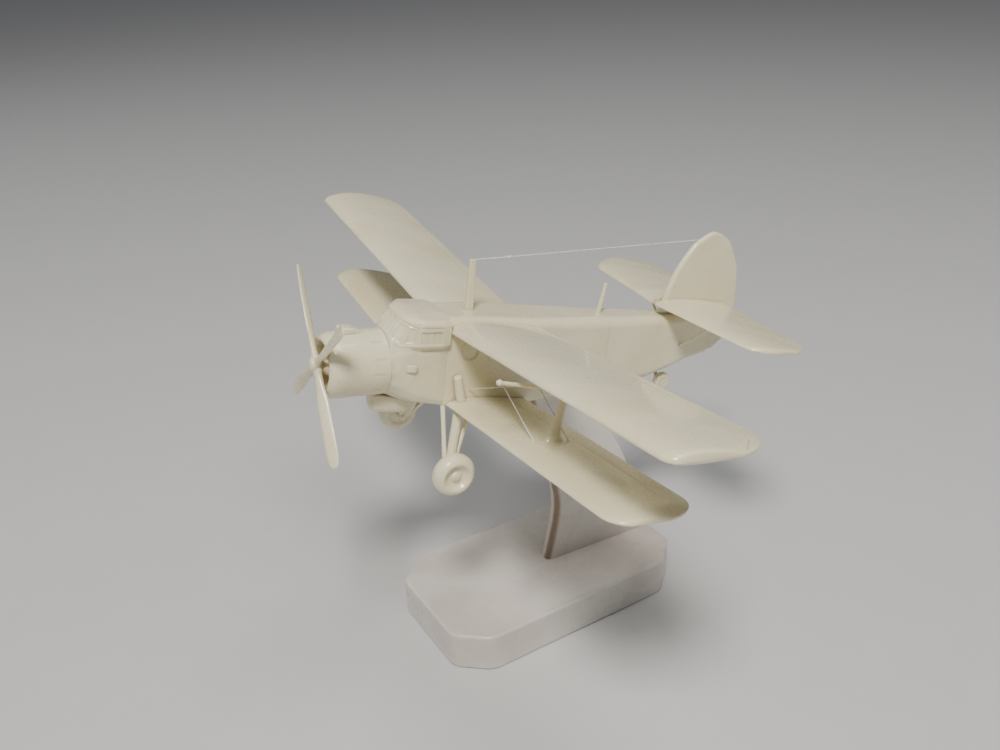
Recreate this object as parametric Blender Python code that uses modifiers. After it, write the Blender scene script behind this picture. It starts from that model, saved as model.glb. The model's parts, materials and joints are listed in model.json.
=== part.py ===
"""A small display model of a single-engined utility biplane, held on a plinth.

Sizes are in millimetres and mm() turns them into metres. The world origin is the
middle of the plinth's underside, with +Z up, the nose toward -Y and the port side
toward +X. The aircraft's own pieces are given in the aircraft's axes: the origin is
the propeller hub, +Y runs aft along the thrust line and +Z is up.
"""

import math

import bpy
import bmesh
from mathutils import Vector

MM = 0.001
GAP = 0.15              # left between pieces that touch
ROUND_STEPS = 24        # sides of a turned piece
SIDES = ((1, "port"), (-1, "starboard"))

# Plinth and pylon
PLINTH_LENGTH = 99.6
PLINTH_WIDTH = 56.9
PLINTH_HEIGHT = 15.0
CHAMFER_X = 9.7
CHAMFER_Y = 11.4
PLINTH_EDGE = 1.2
PLINTH_TURN = 4.06      # degrees, how far the plinth is skewed under the aircraft
PYLON_THICKNESS = 6.0
PYLON_EDGE = 0.6

# Aircraft pose: where the propeller hub is and how far the nose is raised
HUB_Y = -77.5
HUB_Z = 120.35
PITCH = 9.5

# Fuselage
COWL_RADIUS = 10.7
COWL_CENTRE_Z = -0.6
COWL_FRONT = 1.5
COWL_BACK = 20.9
COWL_BORE = 8.1
MOUTH_RADIUS = 7.4
ENGINE_FRONT = 9.6
ENGINE_BACK = 16.0
CABIN_FRONT = 40.2
CABIN_BACK = 127.2
TAIL_END = 154.8
CANOPY_SILL = 6.3
CABIN_HALF_WIDTH = 9.6

# Cabin sections: station, half width, top, bottom, rounding above and below
CABIN_SECTIONS = (
    (CABIN_FRONT, CABIN_HALF_WIDTH, 15.6, -15.2, 3.5, 1.2),
    (50.0, CABIN_HALF_WIDTH, 15.0, -16.2, 3.0, 1.2),
    (65.0, CABIN_HALF_WIDTH, 13.8, -17.0, 3.0, 1.2),
    (74.0, CABIN_HALF_WIDTH, 12.9, -17.3, 3.0, 1.8),
    (88.0, 8.6, 11.8, -17.0, 3.5, 3.0),
    (106.0, 7.3, 10.4, -16.2, 3.5, 3.4),
    (CABIN_BACK - GAP, 5.6, 8.8, -15.2, 3.0, 3.2),
)

# Propeller: each blade's angle in degrees from upright toward starboard, and its stations
# from the root out as radius, half width, half thickness, pitch angle and sideways bend
BLADE_BACK = 0.15           # how far the blades stand behind the hub's middle
BLADE_ROOT = (
    (2.45, 1.6, 1.4, 45, 0.0), (3.4, 1.3, 1.15, 44, 0.0), (5.5, 1.35, 1.0, 43, 0.0),
    (8.5, 1.55, 0.9, 41, 0.0), (12.0, 1.95, 0.8, 43, 0.0), (20.0, 2.05, 0.65, 44, 0.0),
)
NARROW_TIP = ((28.0, 1.85, 0.5, 43, 0.0), (32.6, 1.35, 0.38, 42, 0.0), (33.1, 1.1, 0.3, 42, 0.0))
BROAD_TIP = (
    (28.0, 2.1, 0.5, 43, 0.0), (31.5, 1.85, 0.4, 42, 0.0), (32.8, 1.2, 0.28, 42, 0.0),
    (33.3, 0.5, 0.16, 42, 0.0),
)
FLAT_BLADE = (
    (2.45, 1.6, 1.4, 45, 0.0), (3.4, 1.3, 1.15, 44, 0.0), (5.5, 1.4, 1.0, 32, 0.0),
    (8.5, 1.7, 0.9, 22, 0.0), (12.0, 1.95, 0.8, 14, 0.0), (20.0, 2.05, 0.65, 10, 0.0),
    (27.0, 2.1, 0.5, 8, 0.0), (28.8, 1.9, 0.4, 8, 0.0), (29.3, 1.5, 0.3, 8, 0.0),
)
LEAF_TIP = (
    (18.0, 1.95, 0.6, 38, -0.1), (23.0, 1.8, 0.45, 37, -0.7), (26.0, 1.15, 0.3, 36, -1.4),
    (27.5, 0.4, 0.16, 36, -1.8),
)
BLADES = (
    (39.5, BLADE_ROOT + NARROW_TIP),
    (-47.5, FLAT_BLADE),
    (-140.5, BLADE_ROOT + BROAD_TIP),
    (-230.5, BLADE_ROOT[:5] + LEAF_TIP),
)

# Wings: leading edge and height at the centreline, and how much lower the trailing edge
# is. Each half was carved by hand and has its own tip: its station, how its two edges
# sweep outward, and how far and how deep its two corners are rounded
WING_ROOT_X = CABIN_HALF_WIDTH + GAP
UPPER = {
    "le": 40.3, "z": 10.3, "drop": 1.0, "chord": 32.9, "dihedral": 6.0, "thickness": 0.12,
    "port": {"tip": 123.3, "sweep": (-0.011, 0.007), "front": (4.5, 4.8), "rear": (14.2, 17.0)},
    "starboard": {"tip": 118.3, "sweep": (-0.004, -0.001), "front": (4.5, 12.5), "rear": (14.0, 5.0)},
}
LOWER = {
    "le": 41.4, "z": -15.3, "drop": 1.2, "chord": 29.8, "dihedral": 6.0, "thickness": 0.085,
    "port": {"tip": 105.3, "sweep": (0.006, 0.003), "front": (7.4, 7.3), "rear": (10.3, 16.6)},
    "starboard": {"tip": 102.4, "sweep": (-0.009, 0.0), "front": (7.6, 8.1), "rear": (13.0, 13.0)},
}
TAILPLANE = {
    "le": 127.0, "z": 12.4, "drop": 0.0, "chord": 32.3, "dihedral": 0.0, "thickness": 0.08,
    "port": {"tip": 51.8, "sweep": (0.106, -0.010), "front": (7.7, 12.6), "rear": (11.1, 12.0), "drop": 1.4},
    "starboard": {"tip": 51.2, "sweep": (0.088, 0.004), "front": (11.4, 10.7), "rear": (11.5, 7.5)},
}
EDGE_THICKNESS = 0.8
TIP_FULLNESS = 0.4      # power of the chord that the skin's thickness follows near a tip
FIN_THICKNESS = 2.6
FIN_EDGE = 0.9

# Undercarriage
TRACK_HALF = 23.9
WHEEL_Y = 39.4
WHEEL_Z = {"port": -32.2, "starboard": -31.4}
WHEEL_RADIUS = 7.2
WHEEL_WIDTH = 6.2
AXLE_RADIUS = 0.75
BORE_CLEARANCE = 0.2
KNUCKLE_RADIUS = 1.4
LEG_RADIUS = 1.6
BRACE_RADIUS = 0.85
TAIL_WHEEL_Y = 137.8
TAIL_WHEEL_Z = -19.5
TAIL_WHEEL_RADIUS = 3.5
TAIL_WHEEL_WIDTH = 3.4

# Struts, threads and masts
STRUT_X = 51.0
STRUT_FOOT_Y = 57.0
STRUT_HEAD_Y = 60.0
THREAD_RADIUS = 0.25
MAST_BASE = 15.3
MAST_TOP = 32.0

CREAM = (0.78, 0.72, 0.58)
STONE = (0.74, 0.71, 0.66)


def mm(x, y, z):
    return Vector((x, y, z)) * MM


def clear_scene():
    for obj in list(bpy.data.objects):
        bpy.data.objects.remove(obj, do_unlink=True)


def make_material(name, colour, roughness):
    """A plain Principled finish, named for the piece that wears it."""
    mat = bpy.data.materials.new(name)
    mat.use_nodes = True
    shader = mat.node_tree.nodes["Principled BSDF"]
    shader.inputs["Base Color"].default_value = (*colour, 1.0)
    shader.inputs["Roughness"].default_value = roughness
    shader.inputs["Metallic"].default_value = 0.0
    mat.diffuse_color = (*colour, 1.0)
    return mat


def add_piece(name, data, parent=None, location=(0, 0, 0), colour=CREAM, roughness=0.25):
    """Link mesh or curve data into the model as one named piece."""
    data.name = name
    data.materials.append(make_material(name + "_finish", colour, roughness))
    obj = bpy.data.objects.new(name, data)
    MODEL.objects.link(obj)
    obj.parent = parent
    obj.location = mm(*location)
    return obj


def mesh_from(bm):
    """Finish a bmesh: faces outward, and smooth between shallow angles."""
    bmesh.ops.recalc_face_normals(bm, faces=bm.faces)
    mesh = bpy.data.meshes.new("mesh")
    bm.to_mesh(mesh)
    bm.free()
    mesh.shade_smooth()
    mesh.set_sharp_from_angle(angle=math.radians(35))
    return mesh


def loft(rings):
    """Skin a row of unlike rings that have the same number of points, and cap the ends."""
    bm = bmesh.new()
    rows = [[bm.verts.new(mm(*point)) for point in ring] for ring in rings]
    count = len(rows[0])
    for row, other in zip(rows, rows[1:]):
        for i in range(count):
            j = (i + 1) % count
            bm.faces.new((row[i], row[j], other[j], other[i]))
    bm.faces.new(rows[0])
    bm.faces.new(rows[-1])
    return mesh_from(bm)


def outline_curve(points, depth, corners):
    """A closed flat outline, curved but at the numbered corners, extruded both ways."""
    curve = bpy.data.curves.new("outline", "CURVE")
    curve.dimensions = "2D"
    curve.fill_mode = "BOTH"
    curve.extrude = depth / 2 * MM
    curve.resolution_u = 3
    spline = curve.splines.new("BEZIER")
    spline.bezier_points.add(len(points) - 1)
    for number, (target, (across, up)) in enumerate(zip(spline.bezier_points, points)):
        target.co = mm(across, up, 0)
        kind = "VECTOR" if number in corners else "AUTO"
        target.handle_left_type = kind
        target.handle_right_type = kind
    spline.use_cyclic_u = True
    return curve


def add_bevel(obj, width, segments, angle):
    """Round a curve's edges, after its loose caps are welded on."""
    weld = obj.modifiers.new("welded caps", "WELD")
    weld.merge_threshold = 0.00001
    bevel = obj.modifiers.new("rounded edges", "BEVEL")
    bevel.width = width * MM
    bevel.segments = segments
    bevel.limit_method = "ANGLE"
    bevel.angle_limit = math.radians(angle)


def stand_upright(obj):
    """Turn a flat outline so that its across runs along Y and its up along Z."""
    obj.rotation_euler = (math.radians(90), 0, math.radians(90))


def turned(name, profile, axis, parent, location, steps=ROUND_STEPS, closed=False):
    """Turn a (radius, along) profile that runs backward on its outer side, about axis."""
    bm = bmesh.new()
    points = [bm.verts.new(mm(radius, 0, along)) for radius, along in profile]
    for start, end in zip(points, points[1:]):
        bm.edges.new((start, end))
    if closed:
        bm.edges.new((points[-1], points[0]))
    mesh = bpy.data.meshes.new("profile")
    bm.to_mesh(mesh)
    bm.free()
    obj = add_piece(name, mesh, parent, location)
    obj.rotation_euler = (0, math.radians(90), 0) if axis == "X" else (math.radians(-90), 0, 0)
    screw = obj.modifiers.new("turned", "SCREW")
    screw.axis = "Z"
    screw.steps = steps
    screw.render_steps = steps
    screw.use_merge_vertices = True
    screw.merge_threshold = 0.00001
    screw.use_smooth_shade = True
    return obj


def rod(name, points, radius, parent, resolution=2, swell=None):
    """A straight or bent rod: a bevelled curve with its ends filled."""
    curve = bpy.data.curves.new(name, "CURVE")
    curve.dimensions = "3D"
    curve.bevel_depth = radius * MM
    curve.bevel_resolution = resolution
    curve.use_fill_caps = True
    spline = curve.splines.new("POLY")
    spline.points.add(len(points) - 1)
    for number, (target, point) in enumerate(zip(spline.points, points)):
        target.co = (*mm(*point), 1.0)
        target.radius = swell[number] if swell else 1.0
    return add_piece(name, curve, parent)


def section(y, half_width, top, bottom, top_round, bottom_round, corner_steps=5):
    """A rounded box section of the fuselage, across the aircraft at y."""
    corners = (
        (half_width - top_round, top - top_round, top_round, 0),
        (-half_width + top_round, top - top_round, top_round, 90),
        (-half_width + bottom_round, bottom + bottom_round, bottom_round, 180),
        (half_width - bottom_round, bottom + bottom_round, bottom_round, 270),
    )
    ring = []
    for x, z, radius, start in corners:
        for step in range(corner_steps + 1):
            angle = math.radians(start + 90 * step / corner_steps)
            ring.append((x + radius * math.cos(angle), y, z + radius * math.sin(angle)))
    return ring


def corner_inset(x, tip, corner):
    """How far a rounded wing tip's edge has drawn in at station x."""
    reach, depth = corner
    over = (x - (tip - reach)) / reach
    if over <= 0:
        return 0.0
    return depth * (1 - math.sqrt(max(0.0, 1 - over ** 2)))


def half_wing(wing, word):
    """A wing's shared values together with those of one side."""
    return {**wing, **wing[word]}


def wing_edges(wing, x):
    """Leading and trailing edge of a wing at station x."""
    lead, trail = wing["sweep"]
    front = wing["le"] + lead * x + corner_inset(x, wing["tip"], wing["front"])
    rear = wing["le"] + wing["chord"] + trail * x - corner_inset(x, wing["tip"], wing["rear"])
    return front, rear


def wing_skin(wing, x, share):
    """Place along the chord, and height of the upper and lower skin, at station x."""
    front, rear = wing_edges(wing, x)
    y = front + share * (rear - front)
    fullness = ((rear - front) / wing["chord"]) ** TIP_FULLNESS
    shape = (0.2969 * math.sqrt(share) - 0.126 * share - 0.3516 * share ** 2
             + 0.2843 * share ** 3 - 0.1036 * share ** 4)
    half = 5 * wing["thickness"] * wing["chord"] * fullness * shape
    edge = EDGE_THICKNESS / 2 * share
    line = wing["z"] + x * math.tan(math.radians(wing["dihedral"]))
    line -= wing["drop"] * (y - wing["le"]) / wing["chord"]
    return y, line + 1.5 * half + edge, line - 0.5 * half - edge


def wing_height(wing, x, y, upper):
    """Height of a wing's upper or lower skin at a point, in the aircraft's axes."""
    front, rear = wing_edges(wing, abs(x))
    heights = wing_skin(wing, abs(x), (y - front) / (rear - front))
    return heights[1] if upper else heights[2]


def wing_ring(wing, x, side, steps=10):
    upper, lower = [], []
    for step in range(steps + 1):
        share = (1 - math.cos(math.pi * step / steps)) / 2
        y, high, low = wing_skin(wing, x, share)
        upper.append((side * x, y, high))
        lower.append((side * x, y, low))
    return upper[::-1] + lower[1:]


def wing_mesh(wing, root, side):
    tip = wing["tip"]
    reach = max(wing["front"][0], wing["rear"][0])
    stations = [root, (root + tip - reach) / 2]
    stations += [tip - reach + reach * math.sin(math.radians(10 * step)) for step in range(9)]
    return loft([wing_ring(wing, x, side) for x in stations])


def build_plinth():
    """Eight-sided slab with its long corners cut, skewed a little under the model."""
    x, y = PLINTH_WIDTH / 2, PLINTH_LENGTH / 2
    quarter = ((x, y - CHAMFER_Y), (x - CHAMFER_X, y))
    outline = []
    for sx, sy in ((1, 1), (-1, 1), (-1, -1), (1, -1)):
        pair = quarter if sx * sy > 0 else quarter[::-1]
        outline += [(sx * px, sy * py) for px, py in pair]
    slab = outline_curve(outline, PLINTH_HEIGHT, range(len(outline)))
    plinth = add_piece("plinth", slab, location=(0, 0, PLINTH_HEIGHT / 2), colour=STONE, roughness=0.35)
    plinth.rotation_euler.z = math.radians(PLINTH_TURN)
    add_bevel(plinth, PLINTH_EDGE, 3, 60)


def belly_point(y):
    """World place of the belly's middle at a station of the cabin."""
    rows = CABIN_SECTIONS
    for before, after in zip(rows, rows[1:]):
        if before[0] <= y <= after[0]:
            share = (y - before[0]) / (after[0] - before[0])
            z = before[3] + (after[3] - before[3]) * share
    turn = math.radians(PITCH)
    world_y = HUB_Y + y * math.cos(turn) + z * math.sin(turn)
    world_z = HUB_Z - y * math.sin(turn) + z * math.cos(turn)
    return world_y, world_z


def build_pylon():
    """Curved upright blade between the plinth and the belly."""
    base = PLINTH_HEIGHT + GAP
    front = [(2.0, base), (4.3, 24), (6.2, 33), (6.6, 41), (5.2, 50), (2.0, 62), (-1.5, 75)]
    top = [(y, z - GAP) for y, z in (belly_point(station) for station in (77.5, 88.0, 97.0))]
    rear = [(24.5, 74.5), (31.5, 63.5), (36.5, 53.5), (40.0, 44), (43.0, 32), (46.0, base)]
    outline = front + top + rear
    corners = (0, len(front), len(front) + 1, len(front) + 2, len(outline) - 1)
    blade = outline_curve(outline, PYLON_THICKNESS, corners)
    pylon = add_piece("pylon", blade, colour=STONE, roughness=0.35)
    stand_upright(pylon)
    add_bevel(pylon, PYLON_EDGE, 2, 60)


def build_fuselage(parent):
    sill = CANOPY_SILL - GAP
    seam = COWL_BACK + GAP
    nose = loft([
        section(seam, 10.3, sill, -11.2, 3.0, 9.0),
        section(24.5, 10.2, sill, -12.0, 2.4, 7.0),
        section(30.0, 10.2, sill, -13.2, 1.5, 5.0),
        section(CABIN_FRONT - GAP, CABIN_HALF_WIDTH, sill, -15.0, 1.5, 2.4),
    ])
    add_piece("fuselage_nose", nose, parent)
    canopy = loft([
        section(seam, 7.9, 9.9, CANOPY_SILL, 3.2, 0.3),
        section(22.5, 8.5, 12.3, CANOPY_SILL, 4.4, 0.6),
        section(25.3, 9.3, 15.5, CANOPY_SILL, 4.6, 0.9),
        section(27.5, 10.3, 16.5, CANOPY_SILL, 4.6, 1.2),
        section(30.0, 11.5, 16.8, CANOPY_SILL, 4.8, 1.4),
        section(33.0, 11.9, 16.7, CANOPY_SILL, 4.8, 1.4),
        section(CABIN_FRONT - GAP, 11.3, 16.1, CANOPY_SILL, 4.4, 1.4),
    ])
    add_piece("canopy", canopy, parent)
    cabin = loft([section(*row) for row in CABIN_SECTIONS])
    add_piece("fuselage_cabin", cabin, parent)
    tail = loft([
        section(CABIN_BACK, 5.5, 8.7, -15.1, 3.0, 3.2),
        section(136.0, 4.7, 8.2, -12.8, 2.8, 2.8),
        section(145.0, 3.7, 7.7, -10.2, 2.4, 2.4),
        section(TAIL_END, 2.6, 7.2, -8.6, 2.0, 2.0),
    ])
    add_piece("fuselage_tail", tail, parent)


def build_cowl(parent):
    """Ring cowl with a full round lip, open in front, and the engine inside it."""
    outer, lip = COWL_RADIUS, COWL_FRONT
    profile = [(outer, COWL_BACK), (outer, lip + 3.7), (outer - 0.5, lip + 1.5), (outer - 1.4, lip + 0.4),
               (outer - 2.4, lip), (MOUTH_RADIUS, lip + 0.7), (MOUTH_RADIUS, lip + 1.9),
               (COWL_BORE - 0.2, lip + 4.5), (COWL_BORE, ENGINE_FRONT - 0.6), (COWL_BORE, COWL_BACK)]
    centre = (0, 0, COWL_CENTRE_Z)
    turned("cowl", profile, "Y", parent, centre, 32, closed=True)
    rim = COWL_BORE - GAP
    face = [(0, ENGINE_BACK), (rim, ENGINE_BACK), (rim, ENGINE_FRONT), (0, ENGINE_FRONT)]
    turned("engine_face", face, "Y", parent, centre)
    back = ENGINE_FRONT - GAP
    case = [(0, back), (4.2, back), (3.4, 7.6), (2.6, 5.2), (1.7, 4.4), (0, 4.4)]
    turned("crankcase", case, "Y", parent, (0, 0, 0))


def blade_ring(radius, half_width, half_thick, pitch, bend):
    """Oval section of a blade, its chord turned away from the disc by the pitch."""
    turn = math.radians(-pitch)
    ring = []
    for step in range(12):
        angle = 2 * math.pi * step / 12
        across = half_width * math.cos(angle)
        through = half_thick * math.sin(angle)
        x = across * math.cos(turn) - through * math.sin(turn)
        y = across * math.sin(turn) + through * math.cos(turn)
        ring.append((x + bend, y + BLADE_BACK, radius))
    return ring


def build_propeller(parent):
    """Hub and four carved blades, each with its own length, set and tip."""
    spin = bpy.data.objects.new("propeller_axis", None)
    MODEL.objects.link(spin)
    spin.parent = parent
    hub = [(0, 4.0), (1.1, 4.0), (1.2, 2.7), (1.9, 1.8), (2.3, 0.8), (2.3, -1.2), (1.9, -1.9),
           (1.1, -2.3), (0, -2.4)]
    turned("propeller_hub", hub, "Y", spin, (0, 0, 0))
    for number, (angle, stations) in enumerate(BLADES):
        mesh = loft([blade_ring(*station) for station in stations])
        blade = add_piece(f"propeller_blade_{number + 1}", mesh, spin)
        blade.rotation_euler.y = -math.radians(angle)


def build_nose_fittings(parent):
    """Carburettor intake over the cowl, oil cooler below, and a blister each side."""
    seat = COWL_CENTRE_Z + COWL_RADIUS + GAP
    intake = loft([section(6.2, 1.6, 11.7, seat, 0.5, 0.3), section(7.4, 2.2, 12.2, seat, 0.8, 0.3),
                   section(10.5, 2.2, 11.9, seat, 0.8, 0.3), section(13.4, 1.6, 10.9, seat, 0.3, 0.2)])
    add_piece("carburettor_intake", intake, parent)
    cooler = loft([section(18.0, 1.8, -11.9, -15.8, 0.9, 1.6), section(19.5, 3.2, -11.6, -17.9, 0.9, 2.6),
                   section(24.0, 3.6, -12.2, -18.8, 0.9, 2.6), section(30.0, 3.6, -13.5, -19.3, 0.9, 2.6),
                   section(32.6, 2.4, -14.1, -17.8, 0.8, 1.6)])
    add_piece("oil_cooler", cooler, parent)
    nose_half_width, bulge = 10.2, 0.8
    for side, word in SIDES:
        bm = bmesh.new()
        bmesh.ops.create_uvsphere(bm, u_segments=16, v_segments=8, radius=MM)
        bmesh.ops.scale(bm, vec=(bulge, 2.1, 1.2), verts=bm.verts)
        at = (side * (nose_half_width + GAP + bulge), 27.8, 0.2)
        add_piece(f"blister_{word}", mesh_from(bm), parent, at)


def build_wings(parent):
    for side, word in SIDES:
        add_piece(f"upper_wing_{word}", wing_mesh(half_wing(UPPER, word), WING_ROOT_X, side), parent)
        add_piece(f"lower_wing_{word}", wing_mesh(half_wing(LOWER, word), WING_ROOT_X, side), parent)
        build_wing_strut(word, side, parent)


def build_wing_strut(word, side, parent):
    """Interplane strut: a slim post that flares into a foot on each wing."""
    shape = ((0.0, 3.5, 1.9), (0.05, 2.6, 1.5), (0.12, 1.8, 1.2), (0.3, 1.45, 1.05), (0.7, 1.4, 1.0),
             (0.88, 1.8, 1.2), (0.95, 2.6, 1.5), (1.0, 3.5, 1.9))
    lower, upper = half_wing(LOWER, word), half_wing(UPPER, word)
    rings = []
    for share, half_y, half_x in shape:
        ring = []
        for step in range(16):
            angle = 2 * math.pi * step / 16
            x = STRUT_X + half_x * math.cos(angle)
            y = STRUT_FOOT_Y + (STRUT_HEAD_Y - STRUT_FOOT_Y) * share + half_y * math.sin(angle)
            low = wing_height(lower, x, y, True) + GAP
            high = wing_height(upper, x, y, False) - GAP
            ring.append((side * x, y, low + (high - low) * share))
        rings.append(ring)
    add_piece(f"wing_strut_{word}", loft(rings), parent)


def build_undercarriage(parent):
    """Leg, braces and axle of each main wheel; a peg carries the leg on above the wing."""
    for side, word in SIDES:
        wheel_z = WHEEL_Z[word]
        lower = half_wing(LOWER, word)
        axle = [(0, 2.6), (AXLE_RADIUS, 2.6), (AXLE_RADIUS, -3.4), (KNUCKLE_RADIUS, -3.7),
                (KNUCKLE_RADIUS, -6.2), (0.9, -6.7), (0, -6.7)]
        pin = turned(f"axle_{word}", axle, "X", parent, (side * TRACK_HALF, WHEEL_Y, wheel_z), 16)
        pin.rotation_euler.y *= side
        leg_foot = (side * 18.7, WHEEL_Y + 1.3, wheel_z + 2.3)
        leg_x, leg_y = 13.0, 44.3
        leg_top = (side * leg_x, leg_y, wing_height(lower, leg_x, leg_y, False) - 0.85)
        rod(f"gear_leg_{word}", [leg_top, leg_foot], LEG_RADIUS, parent, 4)
        peg_x, peg_y = 11.5, 46.2
        peg_foot = (side * peg_x, peg_y, wing_height(lower, peg_x, peg_y, True) + 0.5)
        rod(f"gear_peg_{word}", [peg_foot, (side * 11.35, 43.8, -3.6)], LEG_RADIUS - 0.1, parent, 4)
        front_foot = (side * 18.7, WHEEL_Y - 1.4, wheel_z + 2.2)
        rod(f"gear_front_strut_{word}", [(side * 8.6, 40.8, -15.9), front_foot], BRACE_RADIUS, parent)
        rear_x, rear_y = 10.6, 50.0
        rear_top = (side * rear_x, rear_y, wing_height(lower, rear_x, rear_y, False) - 0.75)
        rear_foot = (side * 18.4, WHEEL_Y + 3.2, wheel_z + 0.9)
        rod(f"gear_rear_strut_{word}", [rear_top, rear_foot], BRACE_RADIUS, parent)
        build_main_wheel(word, side, parent)


def build_main_wheel(word, side, parent):
    """Fat tyre with a dished outer face and a small boss, bored for its axle."""
    half, tyre, bore = WHEEL_WIDTH / 2, WHEEL_RADIUS, AXLE_RADIUS + BORE_CLEARANCE
    profile = [(bore, half - 0.9), (1.5, half - 0.9), (1.8, half - 1.6), (3.3, half - 1.6), (4.0, half - 0.7),
               (4.7, half - 0.1), (5.4, half - 0.1), (tyre - 0.8, half - 0.9), (tyre - 0.1, half - 2.0),
               (tyre, 0.0), (tyre - 0.2, -half + 1.8), (tyre - 1.1, -half + 0.5), (4.7, -half),
               (3.6, -half + 0.6), (bore, -half + 0.8)]
    place = (side * TRACK_HALF, WHEEL_Y, WHEEL_Z[word])
    wheel = turned(f"main_wheel_{word}", profile, "X", parent, place, 28, closed=True)
    wheel.rotation_euler.y *= side


def build_tail_wheel(parent):
    """Small wheel on a pin from a leg that stands on its starboard side."""
    half, tyre, bore = TAIL_WHEEL_WIDTH / 2, TAIL_WHEEL_RADIUS, 0.8
    place = (0, TAIL_WHEEL_Y, TAIL_WHEEL_Z)
    profile = [(bore, half - 0.3), (1.5, half - 0.3), (2.2, half), (tyre - 0.7, half - 0.2), (tyre, half - 1.0),
               (tyre, -half + 1.0), (tyre - 0.7, -half + 0.2), (2.2, -half), (1.5, -half + 0.3), (bore, -half + 0.3)]
    turned("tail_wheel", profile, "X", parent, place, 24, closed=True)
    leg_x = -half - 1.0
    rod("tail_wheel_leg", [(leg_x, 134.6, -14.2), (leg_x, TAIL_WHEEL_Y, TAIL_WHEEL_Z)], 0.8, parent)
    pin = [(0, half - 0.4), (0.6, half - 0.4), (0.6, leg_x + 0.95), (0, leg_x + 0.95)]
    turned("tail_wheel_pin", pin, "X", parent, place, 12)
    yoke = [(-3.4, 132.2, -15.0), (0.6, 132.2, -15.0)]
    rod("tail_wheel_yoke", yoke, 0.9, parent)


def build_tail(parent):
    outline = [(129.9, 9.4), (134.3, 23.6), (140.2, 33.4), (144.0, 36.6), (149.8, 39.1), (156.7, 36.0),
               (160.6, 30.6), (163.8, 24.2), (166.3, 11.6), (165.6, 4.0), (163.6, -3.1), (158.6, -7.8),
               (155.4, -8.2), (155.4, 7.8)]
    last = len(outline) - 1
    fin = add_piece("fin_and_rudder", outline_curve(outline, FIN_THICKNESS, (0, last - 1, last)), parent)
    stand_upright(fin)
    add_bevel(fin, FIN_EDGE, 3, 50)
    root = FIN_THICKNESS / 2 + GAP
    for side, word in SIDES:
        half = half_wing(TAILPLANE, word)
        add_piece(f"tailplane_{word}", wing_mesh(half, root, side), parent)
        head_x, station = 22.0, 140.0
        head = (side * head_x, station, wing_height(half, head_x, station, False) - 0.5)
        rod(f"tailplane_strut_{word}", [(side * 5.1, station, -3.0), head], 0.6, parent)


def build_masts(parent):
    """A flat mast over the cabin, a round one aft, and a thread from the first to the fin."""
    outline = [(50.1, MAST_BASE), (52.6, MAST_BASE), (52.0, MAST_TOP), (49.9, MAST_TOP)]
    main = add_piece("main_mast", outline_curve(outline, 1.6, range(4)), parent)
    stand_upright(main)
    rod("rear_mast", [(0, 103.4, 10.9), (0, 104.8, 21.4)], 0.8, parent, 3)
    rod("aerial_thread", [(0, 52.3, MAST_TOP - 0.4), (0, 141.4, 36.0)], THREAD_RADIUS, parent)


def build_bracing(parent):
    """Taut threads in each wing bay, and the pitot rod ahead of the port strut."""
    clear = THREAD_RADIUS + 0.1
    landing = (((11.0, 48.9), (51.3, 50.2)), ((11.0, 61.3), (52.5, 61.8)))
    for side, word in SIDES:
        lower, upper = half_wing(LOWER, word), half_wing(UPPER, word)
        for name, (root, foot) in zip(("landing_wire", "rear_wire"), landing):
            top = (side * root[0], root[1], wing_height(upper, *root, False) - clear)
            bottom = (side * foot[0], foot[1], wing_height(lower, *foot, True) + clear)
            rod(f"{name}_{word}", [top, bottom], THREAD_RADIUS, parent)
        rod(f"flying_wire_{word}", [(side * 10.6, 49.6, -9.0), (side * 50.1, 57.0, 9.5)], THREAD_RADIUS, parent)
    pitot = [(STRUT_X, 35.2, 12.4), (STRUT_X, 35.6, 12.3), (STRUT_X, 36.2, 12.15), (STRUT_X, 36.8, 12.0),
             (STRUT_X, 37.2, 11.9), (STRUT_X, 57.2, 7.8)]
    rod("pitot_rod", pitot, 0.6, parent, 3, swell=(0.6, 1.3, 1.6, 1.3, 1.0, 1.0))


clear_scene()
MODEL = bpy.data.collections.new("display_biplane")
bpy.context.scene.collection.children.link(MODEL)
aircraft = bpy.data.objects.new("aircraft_axes", None)
MODEL.objects.link(aircraft)
aircraft.location = mm(0, HUB_Y, HUB_Z)
aircraft.rotation_euler.x = -math.radians(PITCH)

build_plinth()
build_pylon()
build_fuselage(aircraft)
build_cowl(aircraft)
build_propeller(aircraft)
build_nose_fittings(aircraft)
build_wings(aircraft)
build_undercarriage(aircraft)
build_tail_wheel(aircraft)
build_tail(aircraft)
build_masts(aircraft)
build_bracing(aircraft)
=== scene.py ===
"""Looks of the carved biplane display model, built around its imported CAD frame."""
import json
import math

import bmesh
import bpy
import numpy as np
from mathutils import Matrix, Vector


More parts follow.
